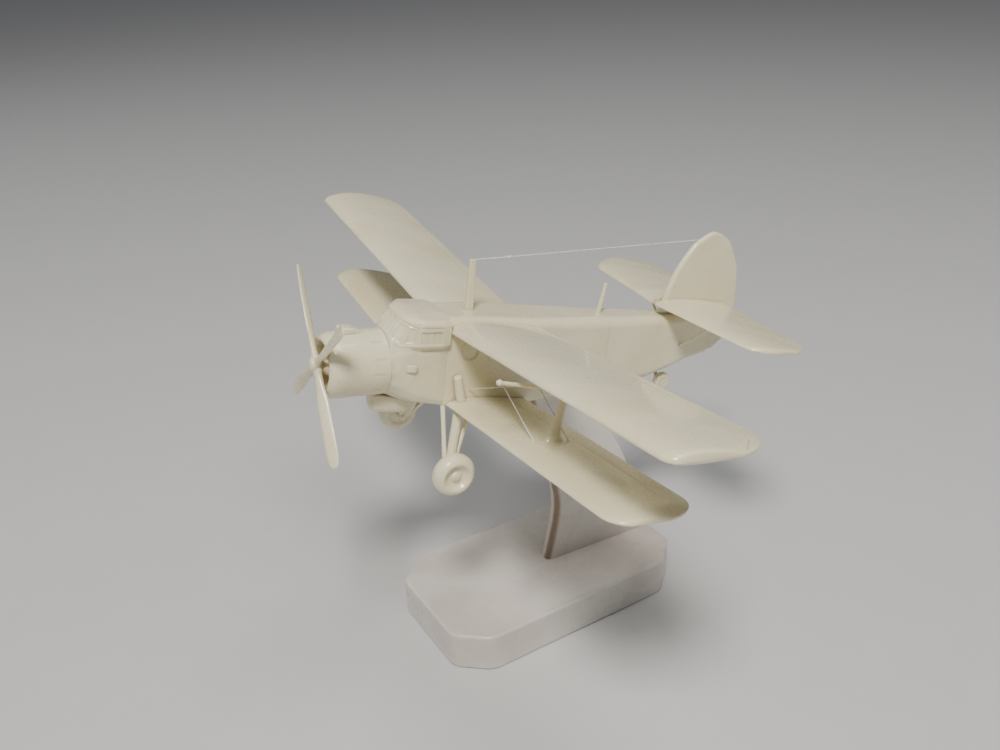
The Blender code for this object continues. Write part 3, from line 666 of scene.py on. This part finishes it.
def build_fuselage():
    build_forebody()
    # Stations: y, half width, top, bottom and the radii of the top and bottom corners
    cabin = [(CABIN_FRONT, CABIN_HALF_WIDTH, 15.6, -15.2, 3.5, 1.2),
             (50.0, CABIN_HALF_WIDTH, 15.0, -16.2, 3.0, 1.2),
             (65.0, CABIN_HALF_WIDTH, 13.8, -17.0, 3.0, 1.2),
             (74.0, CABIN_HALF_WIDTH, 12.9, -17.3, 3.0, 1.8), (88.0, 8.6, 11.8, -17.0, 3.5, 3.0),
             (106.0, 7.3, 10.4, -16.2, 3.5, 3.4), (CABIN_BACK, 5.6, 8.8, -15.2, 3.0, 3.2)]
    turns = np.linspace(0, 2 * math.pi, 24, endpoint=False)
    port_hole = [(48.5 + 3.1 * math.cos(t), 4.3 + 3.3 * math.sin(t)) for t in turns]
    marks = [hand_cut(0.06, 12)]
    for side in (-1, 1):
        out = (side, 0, 0)
        marks.append(panel(FROM_SIDE, port_hole, out, 0.35, 0.35, 0.35))
        marks.append(groove(FROM_SIDE, [(104.0, 9.0), (104.5, -14.0)], out, 0.08))
    add_skin("cabin_skin", hull(cabin, 0.35, 260, 0.2), "fuselage", ["fuselage_cabin"], marks=marks)
    tail = [(CABIN_BACK + SEAM, 5.5, 8.7, -15.1, 3.0, 3.2), (136.0, 4.7, 8.2, -12.8, 2.8, 2.8),
            (145.0, 3.7, 7.7, -10.2, 2.4, 2.4), (TAIL_END, 2.6, 7.2, -8.6, 2.0, 2.0)]
    add_skin("tail_skin", hull(tail, 0.35, 180, 0.3), "fuselage", ["fuselage_tail"],
             marks=[hand_cut(0.05, 8)])


# Forebody: half outlines from the roof's middle to the belly's, at stations from the cowl
# to the cabin. In order: roof (3 points), brow, window head, window, sill, lip, undercut,
# shoulder, flank, lower flank, corner (2 points) and belly.
FOREBODY = (
    (20.95, (0, 9.9), (2.6, 9.6), (4.6, 8.85), (6.2, 7.8), (7.3, 6.85), (8.1, 5.95), (8.7, 5.15),
     (9.1, 4.45), (9.5, 3.6), (9.8, 2.8), (10.45, -0.6), (9.6, -5.0), (7.4, -8.1), (3.6, -10.5),
     (0, -11.1)),
    (22.5, (0, 12.2), (3.0, 12.2), (5.0, 12.1), (5.8, 11.8), (6.5, 11.1), (7.2, 9.8), (7.6, 8.4),
     (7.9, 7.2), (8.6, 5.6), (9.3, 4.3), (10.4, -0.6), (9.8, -5.5), (7.8, -8.6), (4.0, -11.0),
     (0, -11.5)),
    (24.0, (0, 14.1), (3.0, 14.1), (5.0, 14.0), (5.9, 13.5), (6.8, 12.4), (8.2, 10.4), (8.7, 8.4),
     (9.0, 7.2), (9.4, 5.8), (9.9, 4.6), (10.4, -0.6), (10.0, -6.0), (8.2, -9.1), (4.6, -11.5),
     (0, -11.9)),
    (25.3, (0, 15.6), (3.0, 15.6), (5.6, 15.5), (6.9, 14.9), (7.7, 13.8), (9.0, 10.8), (9.2, 8.4),
     (9.4, 7.2), (9.6, 6.1), (10.2, 4.8), (10.35, -0.6), (10.1, -6.6), (8.5, -9.8), (5.2, -11.9),
     (0, -12.2)),
    (26.5, (0, 16.3), (4.0, 16.2), (7.0, 15.9), (8.6, 15.1), (9.2, 13.9), (9.8, 11.0), (9.9, 8.3),
     (10.0, 7.4), (9.9, 6.3), (10.3, 4.9), (10.3, -0.6), (10.2, -7.2), (8.8, -10.4), (5.8, -12.3),
     (0, -12.5)),
    (28.0, (0, 16.65), (4.5, 16.6), (8.0, 16.3), (9.8, 15.5), (10.2, 14.2), (10.4, 11.2), (10.6, 8.4),
     (10.8, 7.6), (10.0, 6.2), (10.35, 4.9), (10.3, -0.6), (10.3, -8.0), (9.0, -11.0), (6.3, -12.6),
     (0, -12.8)),
    (29.4, (0, 16.75), (5.0, 16.7), (9.2, 16.3), (10.8, 15.6), (11.2, 14.3), (11.1, 11.5), (11.2, 8.4),
     (11.4, 7.6), (10.0, 6.0), (10.35, 4.8), (10.3, -0.6), (10.2, -8.8), (9.1, -11.7), (6.6, -13.0),
     (0, -13.1)),
    (30.2, (0, 16.8), (5.0, 16.75), (10.2, 16.2), (11.4, 15.7), (11.9, 14.8), (11.85, 12.0), (11.8, 8.5),
     (11.8, 7.6), (10.0, 5.9), (10.35, 4.7), (10.3, -0.6), (10.2, -9.4), (9.1, -12.1), (6.8, -13.2),
     (0, -13.3)),
    (37.5, (0, 16.4), (5.0, 16.35), (10.2, 15.8), (11.4, 15.3), (11.9, 14.4), (11.85, 12.0), (11.8, 8.1),
     (11.8, 7.3), (10.0, 5.7), (10.3, 4.6), (10.1, -0.6), (9.9, -11.8), (9.2, -13.7), (7.3, -14.5),
     (0, -14.5)),
    (40.15, (0, 16.1), (5.0, 16.05), (9.7, 15.5), (10.8, 15.0), (11.2, 14.2), (11.2, 12.0), (11.1, 8.2),
     (11.1, 7.4), (9.9, 6.2), (9.8, 4.8), (9.7, -0.6), (9.6, -12.6), (9.0, -14.4), (7.4, -15.0),
     (0, -15.0)),
)


def forebody_rings(pitch=0.25, share=14):
    """Rings through the forebody's outlines, their corners eased a little."""
    stations = np.array([row[0] for row in FOREBODY])
    outlines = np.array([row[1:] for row in FOREBODY], float)
    steps = np.linspace(0, 1, share, endpoint=False)[:, None]
    rings = []
    for y in np.linspace(stations[0], stations[-1], int((stations[-1] - stations[0]) / pitch)):
        half = np.array([[np.interp(y, stations, values) for values in corner.T]
                         for corner in outlines.transpose(1, 0, 2)])
        port = np.vstack([a + (b - a) * steps for a, b in zip(half, half[1:])] + [half[-1:]])
        ring = np.vstack((port, (port * (-1, 1))[-2:0:-1]))
        for _ in range(8):
            ring = (np.roll(ring, 1, axis=0) + 2 * ring + np.roll(ring, -1, axis=0)) / 4
        rings.append(np.column_stack((ring[:, 0], np.full(len(ring), y), ring[:, 1])))
    rings = np.array(rings)
    for _ in range(3):
        rings[1:-1] = (rings[:-2] + 2 * rings[1:-1] + rings[2:]) / 4
    return rings


# What is carved into the forebody: brow, sill and panes as (x, z), side window as (y, z)
BROW = ((0, 15.1), (1.9, 15.15), (5.3, 15.1), (7.6, 14.75), (9.3, 14.2), (10.7, 13.6))
SILL = ((0.0, 10.6), (3.5, 10.5), (6.2, 9.6), (7.6, 8.4), (8.8, 7.6), (10.4, 7.9))
PANES = (((0.45, 11.2), (5.3, 11.0), (4.7, 14.4), (0.45, 14.6)),
         ((6.6, 9.6), (8.5, 8.7), (8.6, 13.7), (5.9, 14.3)),
         ((9.35, 8.7), (10.55, 8.9), (10.7, 13.0), (9.45, 13.5)))
WINDOW = [(29.9, 8.5), (37.3, 8.0), (37.0, 12.2), (33.4, 12.4), (29.8, 12.5)]


def build_forebody():
    """Nose block and cockpit in one: panes under a brow, a bulged window on each side."""
    marks = [hand_cut(0.04, 6)]
    for side in (-1, 1):
        oblique, out = (side * 0.55, -0.75, 0.35), (side, 0, 0)
        brow, sill, *panes = ([(side * x, z) for x, z in line] for line in (BROW, SILL, *PANES))
        marks.append(groove(FROM_FRONT, brow, oblique, 0.25, 0.28, 0.25))
        marks += [panel(FROM_FRONT, pane, oblique, 0.28, 0.25, 0.12) for pane in panes]
        marks.append(groove(FROM_FRONT, sill, oblique, -0.16, 0.35, 0.0))
        marks.append(panel(FROM_SIDE, WINDOW, out, 0.4, 0.22, 0.2))
        marks.append(groove(FROM_SIDE, [(33.6, 8.2), (33.6, 12.4)], out, -0.12, 0.3, 0.0))
        marks.append(groove(FROM_SIDE, [(29.9, 13.9), (37.0, 13.5)], out, 0.2, 0.22, 0.25))
    add_skin("forebody", forebody_rings(), "fuselage", ["fuselage_nose", "canopy"], marks=marks)


def build_cowl():
    outer, lip = COWL_RADIUS, COWL_FRONT
    line = [(outer, COWL_BACK - SEAM), (outer, 17.0), (outer, 12.0), (outer, 8.0), (outer, lip + 3.7),
            (outer - 0.35, lip + 1.75), (outer - 1.3, lip + 0.4), (outer - 2.3, lip),
            (MOUTH_RADIUS + 0.15, lip + 0.6), (MOUTH_RADIUS - 0.05, lip + 1.6),
            (MOUTH_RADIUS + 0.2, lip + 3.2), (COWL_BORE - 0.1, lip + 5.4), (COWL_BORE, ENGINE_FRONT + 1.0)]
    back, inside_end = (outer - 1.0, COWL_BACK - SEAM), (COWL_BORE - 2.0, ENGINE_FRONT + 1.2)
    profile = np.vstack((back, smooth_line(line, 110), inside_end))
    marks = [hand_cut(0.05, 7, 0.7)]
    for middle in (8.4, 3.9, -0.8, -6.8):
        gill = [(15.6, middle), (19.3, middle - 0.1)]
        marks += [groove(FROM_SIDE, gill, (side, 0, 0.3), 0.14, 0.22, 0.25) for side in (1, -1)]
    rings = lathe(profile, 200, "Y", (0, 0, COWL_CENTRE_Z))
    add_skin("cowl_ring", rings, "fuselage", ["cowl"], marks=marks)


def build_engine():
    """Dished face with nine rounded cylinders round the crankcase."""
    rim = COWL_BORE + 0.2
    profile = [(0.3, ENGINE_FRONT - 0.3), (3.5, ENGINE_FRONT - 0.2), (rim * 0.7, ENGINE_FRONT),
               (rim, ENGINE_FRONT), (rim, ENGINE_FRONT + 3.0), (0.3, ENGINE_FRONT + 3.0)]
    add_skin("engine_disc", lathe(profile, 64, "Y", (0, 0, COWL_CENTRE_Z)), "engine", ["engine_face"])
    for number in range(9):
        angle = math.radians(90 + 40 * number)
        start, end = ((radius * math.cos(angle), y, COWL_CENTRE_Z + radius * math.sin(angle))
                      for radius, y in ((2.6, ENGINE_FRONT - 1.2), (7.6, ENGINE_FRONT - 0.6)))
        add_skin(f"engine_cylinder_{number + 1}",
                 stick(start, end, (1.0, 1.15, 1.15, 1.0), rows=16, count=16), "engine", [])
    case = [(0.2, 4.2), (1.5, 4.25), (2.3, 5.0), (3.1, 6.6), (4.0, 8.6), (4.3, ENGINE_FRONT + 0.5)]
    add_skin("crankcase_dome", lathe(smooth_line(case, 30), 48, "Y"), "engine", ["crankcase"])


def build_nose_fittings():
    seat = COWL_CENTRE_Z + COWL_RADIUS - 0.3
    intake = [(6.2, 1.6, 11.8, seat, 0.5, 0.3), (7.0, 2.1, 12.2, seat, 0.8, 0.3),
              (10.5, 2.2, 11.9, seat, 0.8, 0.3), (13.6, 1.6, 10.6, seat - 0.1, 0.3, 0.2)]
    add_skin("intake_scoop", hull(intake, 0.25, 60, 0.3), "fittings", ["carburettor_intake"],
             marks=[hand_cut(0.05, 4)])
    cooler = [(18.0, 1.8, -11.4, -15.8, 0.9, 1.7), (18.6, 2.6, -11.2, -17.2, 0.9, 2.2),
              (19.8, 3.3, -11.2, -18.1, 0.9, 2.7), (24.0, 3.6, -11.9, -18.8, 0.9, 2.8),
              (30.0, 3.6, -13.2, -19.3, 0.9, 2.8), (31.8, 3.0, -13.7, -18.7, 0.8, 2.3),
              (32.6, 2.4, -14.0, -17.8, 0.8, 1.7)]
    add_skin("cooler_body", hull(cooler, 0.25, 90, 0.4), "fittings", ["oil_cooler"],
             marks=[hand_cut(0.05, 5)])
    wedge = [(25.9, 0.1, 1.2, -0.6, 0.05, 0.05), (26.6, 0.5, 1.5, -0.8, 0.3, 0.1),
             (28.6, 0.9, 1.3, -0.9, 0.5, 0.1), (29.7, 0.5, 0.9, -0.7, 0.3, 0.1),
             (29.9, 0.1, 0.7, -0.5, 0.05, 0.05)]
    for side, word in SIDES:
        rings = hull(wedge, 0.15, 36, 0.05) + np.array((side * 10.45, 0, 0))
        add_skin(f"blister_block_{word}", rings, "fittings", [f"blister_{word}"])


# Propeller, wheels, masts and threads


def build_propeller():
    hub = smooth_line([(0.15, 4.0), (1.05, 3.9), (1.2, 2.7), (1.9, 1.8), (2.35, 0.8), (2.35, -1.2),
                       (1.9, -2.0), (1.0, -2.35), (0.15, -2.4)], 40)
    add_skin("propeller_boss", lathe(hub, 48, "Y"), "propeller", ["propeller_hub"], "propeller",
             marks=[hand_cut(0.05, 3)])
    # Blade stations: radius, half width, half thickness, pitch in degrees and sideways bend
    root = [(1.2, 1.8, 1.6, 45, 0), (2.45, 1.6, 1.4, 45, 0), (3.4, 1.3, 1.15, 44, 0),
            (5.5, 1.35, 1.0, 43, 0), (8.5, 1.55, 0.9, 41, 0)]
    full = root + [(12.0, 1.95, 0.8, 43, 0), (20.0, 2.05, 0.65, 44, 0)]
    flat = root[:3] + [(5.5, 1.4, 1.0, 32, 0), (8.5, 1.7, 0.9, 22, 0), (12.0, 1.95, 0.8, 14, 0),
                       (20.0, 2.05, 0.65, 10, 0), (27.0, 2.1, 0.5, 8, 0), (28.8, 1.95, 0.4, 8, 0),
                       (29.3, 1.7, 0.3, 8, 0)]
    blades = (
        (39.5, full + [(28.0, 1.85, 0.5, 43, 0), (32.6, 1.35, 0.38, 42, 0), (33.1, 1.15, 0.3, 42, 0)]),
        (-47.5, flat),
        (-140.5, full + [(28.0, 2.05, 0.5, 43, 0), (31.5, 1.7, 0.4, 42, 0), (32.7, 1.2, 0.28, 42, 0),
                         (33.15, 0.4, 0.14, 42, 0)]),
        (-230.5, root + [(12.0, 1.75, 0.75, 40, 0), (18.0, 1.95, 0.6, 38, -0.1),
                         (23.0, 1.8, 0.45, 37, -0.7), (26.0, 1.15, 0.3, 36, -1.4),
                         (27.5, 0.3, 0.14, 36, -1.8)]),
    )
    for number, (angle, shape) in enumerate(blades):
        add_skin(f"blade_{number + 1}", blade_rings(shape, math.radians(angle)), "propeller",
                 [f"propeller_blade_{number + 1}"], "propeller", marks=[hand_cut(0.04, 6, number)])


def blade_rings(shape, turn):
    """Rings of a twisted blade whose axis leans turn from upright toward starboard."""
    fine = smooth_line(shape, 90)
    angles = np.linspace(0, 2 * math.pi, 44, endpoint=False)
    out = np.array((-math.sin(turn), 0, math.cos(turn)))
    along = np.array((math.cos(turn), 0, math.sin(turn)))
    back = np.array((0.0, 1.0, 0.0))
    rings = []
    for radius, half_width, half_thick, pitch, bend in fine:
        tilt = math.radians(-pitch)
        across, through = half_width * np.cos(angles), half_thick * np.sin(angles)
        x = across * math.cos(tilt) - through * math.sin(tilt) + bend
        y = across * math.sin(tilt) + through * math.cos(tilt) + BLADE_BACK
        rings.append(radius * out + x[:, None] * along + y[:, None] * back)
    return np.array(rings)


def build_wheels():
    half, tyre = WHEEL_WIDTH / 2, WHEEL_RADIUS
    line = [(0.2, half - 0.75), (0.9, half - 0.8), (1.45, half - 1.1), (1.9, half - 1.6),
            (3.0, half - 1.65), (3.7, half - 1.1), (4.5, half - 0.15), (5.3, half - 0.05),
            (tyre - 0.9, half - 0.8), (tyre - 0.15, half - 2.0), (tyre, 0.0), (tyre - 0.25, -half + 1.6),
            (tyre - 1.2, -half + 0.4), (4.7, -half + 0.1), (3.4, -half + 0.6), (0.2, -half + 0.8)]
    profile = smooth_line(line, 90)
    for side, word in SIDES:
        turned = [(radius, side * along) for radius, along in profile]
        centre = (side * TRACK_HALF, WHEEL_Y, WHEEL_Z[word])
        add_skin(f"tyre_{word}", lathe(turned, 96, "X", centre), "wheels", [f"main_wheel_{word}"],
                 f"main_wheel_{word}", marks=[hand_cut(0.05, 4, side)])
    half, tyre = TAIL_WHEEL_WIDTH / 2, TAIL_WHEEL_RADIUS
    line = [(0.1, half - 0.3), (0.9, half - 0.3), (1.6, half - 0.25), (2.3, half),
            (tyre - 0.6, half - 0.3), (tyre - 0.05, half - 1.1), (tyre - 0.05, -half + 1.1),
            (tyre - 0.6, -half + 0.3), (2.3, -half), (0.1, -half + 0.3)]
    rings = lathe(smooth_line(line, 50), 64, "X", (0, TAIL_WHEEL_Y, TAIL_WHEEL_Z))
    add_skin("tail_tyre", rings, "wheels", ["tail_wheel"], "tail_wheel", marks=[hand_cut(0.04, 3)])


def build_undercarriage():
    pin = ((0.1, 2.2), (0.7, 2.2), (0.75, -3.3), (1.3, -3.6), (1.45, -4.4), (1.45, -5.8), (1.0, -6.6),
           (0.1, -6.8))
    for side, word in SIDES:
        z = WHEEL_Z[word]
        turned = smooth_line([(radius, side * along) for radius, along in pin], 40)
        rings = lathe(turned, 32, "X", (side * TRACK_HALF, WHEEL_Y, z))
        add_skin(f"axle_pin_{word}", rings, "fittings", [f"axle_{word}"])
        rods = (
            ("gear_leg", (12.8, 44.5, -15.2), (18.7, WHEEL_Y + 0.9, z + 0.6), (1.6, 1.6, 1.55)),
            ("gear_peg", (11.6, 46.4, -14.4), (11.3, 43.8, -3.5), (1.6, 1.5, 1.45)),
            ("gear_front_strut", (8.4, 40.9, -14.6), (18.7, WHEEL_Y - 0.9, z + 0.9), (0.85, 0.8, 0.8)),
            ("gear_rear_strut", (10.4, 50.1, -15.8), (18.4, WHEEL_Y + 2.4, z + 0.9), (0.85, 0.85, 0.8)),
        )
        for name, *ends, radii in rods:
            start, end = (np.multiply(point, (side, 1, 1)) for point in ends)
            add_skin(f"{name}_rod_{word}", stick(start, end, radii), "fittings", [f"{name}_{word}"],
                     marks=[hand_cut(0.05, 5, side)])
    hub = (TAIL_LEG_X, TAIL_WHEEL_Y, TAIL_WHEEL_Z)
    rods = (("leg", (TAIL_LEG_X, 134.2, -13.0), hub, 0.8), ("pin", hub, (1.2, *hub[1:]), 0.6),
            ("yoke", (-3.4, 132.2, -15.0), (0.6, 132.2, -15.0), 0.9))
    for name, start, end, radius in rods:
        add_skin(f"tail_{name}_rod", stick(start, end, (radius, radius)), "fittings",
                 [f"tail_wheel_{name}"])


def build_masts():
    mast = [(MAST_BASE - 1.2, 0.85, 52.7, 50.0, 0.3, 0.3), (20.0, 0.8, 52.4, 50.0, 0.3, 0.3),
            (MAST_TOP, 0.75, 52.0, 49.9, 0.25, 0.25)]
    upright = hull(mast, 0.5, 40, 0.15)[:, :, (0, 2, 1)]
    add_skin("mast_blade", upright, "fittings", ["main_mast"], marks=[hand_cut(0.05, 5)])
    rear = stick((0, 103.2, 9.6), (0, 104.8, 21.4), (1.0, 0.8, 0.75, 0.7))
    add_skin("rear_mast_rod", rear, "fittings", ["rear_mast"], marks=[hand_cut(0.04, 4)])
    pitot = stick((STRUT_X, 36.4, 12.1), (STRUT_X, 57.6, 7.7), (0.6, 0.6))
    add_skin("pitot_tube", pitot, "fittings", ["pitot_rod"])
    bead = smooth_line([(0.1, -1.0), (0.6, -0.8), (0.95, 0.0), (0.6, 0.8), (0.1, 1.0)], 16)
    add_skin("pitot_bead", lathe(bead, 28, "Y", (STRUT_X, 36.2, 12.15)), "fittings", [])


def twine(name, start, end, node, radius=0.22, pitch=1.3, knots=()):
    """Two-ply thread pulled straight: strands wound round its line, thicker at a knot."""
    start, end = np.array(start, float), np.array(end, float)
    length = np.linalg.norm(end - start)
    way = (end - start) / length
    side = np.cross(way, (0.0, 0.0, 1.0))
    side /= np.linalg.norm(side)
    other = np.cross(way, side)
    count = int(length / pitch * 9)
    curve = bpy.data.curves.new(name, "CURVE")
    curve.dimensions = "3D"
    curve.bevel_depth = radius * 0.55 * MM
    curve.bevel_resolution = 1
    curve.use_fill_caps = True
    for ply in range(2):
        spline = curve.splines.new("POLY")
        spline.points.add(count - 1)
        for number, target in enumerate(spline.points):
            along = length * number / (count - 1)
            angle = 2 * math.pi * along / pitch + math.pi * ply
            swell = 1 + sum(size * math.exp(-((along - at) / span) ** 2) for at, size, span in knots)
            off = radius * 0.5 * swell * (math.cos(angle) * side + math.sin(angle) * other)
            point = AIRCRAFT @ Vector(start + way * along + off)
            target.co = (*point, 1.0)
            target.radius = swell
    curve.materials.append(FINISHES["thread"])
    piece = bpy.data.objects.new(name, curve)
    bpy.context.collection.objects.link(piece)
    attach(piece, "airframe")
    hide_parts(node)
    return piece


def build_threads():
    twine("aerial_twine", (0, 51.2, MAST_TOP - 0.3), (0, 142.6, 36.0), "aerial_thread",
          knots=((13.0, 1.2, 1.2), (2.0, 0.5, 6.0)))
    wires = (("landing", (11.0, 48.9), (51.3, 50.2)), ("rear", (11.0, 61.3), (52.5, 61.8)))
    for side, word in SIDES:
        lower, upper = half_wing(LOWER, word), half_wing(UPPER, word)
        for name, root, foot in wires:
            top = (side * root[0], root[1], wing_skin(upper, *root)[1] + 0.1)
            bottom = (side * foot[0], foot[1], wing_skin(lower, *foot)[0] - 0.05)
            twine(f"{name}_twine_{word}", top, bottom, f"{name}_wire_{word}")
        twine(f"flying_twine_{word}", (side * 9.6, 49.4, -9.5), (side * 50.4, 57.6, 9.6),
              f"flying_wire_{word}")


# Stand


def flat_ring(outline, z):
    """An outline of (x, y) points at one height."""
    return np.column_stack((outline, np.full(len(outline), z)))


def build_plinth():
    """Slab with its corners cut and its edges worn soft."""
    height = np.array(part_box("plinth")[1])[2] / MM
    x, y, soft = PLINTH_WIDTH / 2, PLINTH_LENGTH / 2, PLINTH_EDGE
    cut_x, cut_y = CORNER_CUT_X, CORNER_CUT_Y
    corners = [(x, y - cut_y), (x - cut_x, y), (cut_x - x, y), (-x, y - cut_y), (-x, cut_y - y),
               (cut_x - x, -y), (x - cut_x, -y), (x, cut_y - y), (x, y - cut_y)]
    edge = evenly(np.array(corners), 400, closed=True)
    edge = (np.roll(edge, 3, axis=0) + np.roll(edge, -3, axis=0) + edge) / 3
    inward = -edge / np.linalg.norm(edge, axis=1)[:, None]
    worn = [(edge + inward * soft * (1 - math.sin(t)), soft * (1 - math.cos(t)))
            for t in np.radians(np.linspace(0, 90, 8))]
    rings = [flat_ring(edge * share, 0.0) for share in np.linspace(0.04, 0.97, 30)]
    rings += [flat_ring(outline, rise) for outline, rise in worn]
    rings += [flat_ring(edge, z) for z in np.linspace(soft, height - soft, 24)[1:-1]]
    rings += [flat_ring(outline, height - rise) for outline, rise in worn[::-1]]
    rings += [flat_ring(edge * share, height) for share in np.linspace(0.97, 0.01, 60)]
    rings = np.array(rings)
    turn = math.radians(PLINTH_TURN)
    across, along = rings[..., 0].copy(), rings[..., 1].copy()
    rings[..., 0] = across * math.cos(turn) - along * math.sin(turn)
    rings[..., 1] = across * math.sin(turn) + along * math.cos(turn)
    add_skin("plinth_block", rings, "plinth", ["plinth"], place=world_matrix(),
             marks=[plinth_wear(height)])


def plinth_wear(height):
    """Uneven polish on top and sides, none on the flat underside."""
    uneven = hand_cut(0.06, 17)
    def mark(co, normals):
        depth, stain_and_shade = uneven(co, normals)
        return np.abs(depth) * (co[:, 2] > 1.5), stain_and_shade
    return mark


def build_pylon():
    """Curved upright blade with a rounded front, stained brown along one side of it."""
    outlines = smooth_line(PYLON_FRONT, 120), smooth_line(PYLON_REAR, 120)
    heads = belly_heights()
    rings = []
    for share in np.linspace(0, 1, 150):
        ends = []
        for line, head in zip(outlines, heads):
            z = PYLON_FOOT + share * (head - PYLON_FOOT)
            ends.append((np.interp(z, line[:, 1], line[:, 0]), z))
        rings.append(pylon_ring(*ends))
    # A real brown stain on the port half of the pylon's front face, with no painted shade
    def stain_and_shade(co, normals):
        ahead = np.clip((-normals[:, 1] - 0.05) / 0.5, 0, 1)
        port = np.clip((co[:, 0] - 0.2) / 1.0, 0, 1)
        return np.zeros(len(co)), 0.85 * ahead * port
    add_skin("pylon_blade", rings, "pylon", ["pylon"], place=world_matrix(),
             marks=[hand_cut(0.06, 15), stain_and_shade])


def pylon_ring(fore, aft, count=160):
    """Section of the pylon between its front and rear points: rounded ahead, softer behind."""
    fore, aft = np.array(fore), np.array(aft)
    length = np.linalg.norm(aft - fore)
    half, nose, heel = PYLON_HALF, PYLON_NOSE, PYLON_HEEL
    corners = ((half - heel, length - heel, heel, 0, 12), (heel - half, length - heel, heel, 90, 12),
               (nose - half, nose, nose, 180, 16), (half - nose, nose, nose, 270, 16))
    outline = []
    for x, along, radius, start, steps in corners:
        for angle in np.radians(np.linspace(start, start + 90, steps)):
            outline.append((x + radius * math.cos(angle), along + radius * math.sin(angle)))
    outline.append(outline[0])
    flat = evenly(np.array(outline), count, closed=True)
    way = (aft - fore) / length
    return [(x, fore[0] + way[0] * along, fore[1] + way[1] * along) for x, along in flat]


def belly_heights():
    """Heights at which the pylon's front and rear end, a little inside the belly."""
    belly, sunk = ((77.5, -17.1), (97.0, -16.5)), 0.4
    return [(AIRCRAFT @ Vector((0, y, z + sunk)))[2] / MM for y, z in belly]


# Studio


def add_floor():
    bpy.ops.mesh.primitive_plane_add(size=6.0, location=(0, 0, 0))
    floor = bpy.context.object
    floor.name = "floor"
    floor.data.materials.append(paper("floor_paper"))


def add_light(name, place, size, power, colour=(1.0, 1.0, 1.0)):
    data = bpy.data.lights.new(name, "AREA")
    data.size = size
    data.energy = power
    data.color = colour
    light = bpy.data.objects.new(name, data)
    bpy.context.collection.objects.link(light)
    light.location = place
    light.visible_camera = False
    aim = Vector((0, 0, 0.11)) - Vector(place)
    light.rotation_euler = aim.to_track_quat("-Z", "Y").to_euler()


def add_world():
    world = bpy.data.worlds.new("studio")
    world.use_nodes = True
    sky = world.node_tree.nodes["Background"]
    sky.inputs["Color"].default_value = (0.92, 0.94, 1.0, 1)
    sky.inputs["Strength"].default_value = 0.16
    bpy.context.scene.world = world


AIRCRAFT = aircraft_matrix()
FINISHES = {
    "flying_surfaces": carved("bone_wings", grain=(9, 60, 60)),
    "fuselage": carved("bone_fuselage"),
    "fittings": carved("bone_fittings", grain=(20, 20, 8)),
    "propeller": carved("bone_propeller", grain=(12, 40, 12), gloss=0.24),
    "wheels": carved("bone_wheels", grain=(40, 12, 12), gloss=0.26),
    # The engine's darker brown body, deep inside the cowl, is painted shade
    "engine": carved("bone_engine_painted_shade", body=(0.62, 0.47, 0.24), aged=(0.45, 0.29, 0.11)),
    "plinth": stone("stand_stone"),
    "thread": cotton("cotton_thread"),
}
FINISHES["pylon"] = FINISHES["plinth"]

add_camera()
build_plinth()
build_pylon()
build_fuselage()
build_cowl()
build_engine()
build_nose_fittings()
build_propeller()
build_wings()
build_undercarriage()
build_wheels()
build_tail()
build_masts()
build_threads()
add_floor()
add_light("key", place=(0.60, -0.38, 1.12), size=0.25, power=17, colour=(1.0, 0.97, 0.92))
add_light("top", place=(0.15, 0.25, 1.3), size=0.5, power=4)
add_light("fill", place=(-0.9, -0.9, 0.7), size=0.9, power=2)
add_world()
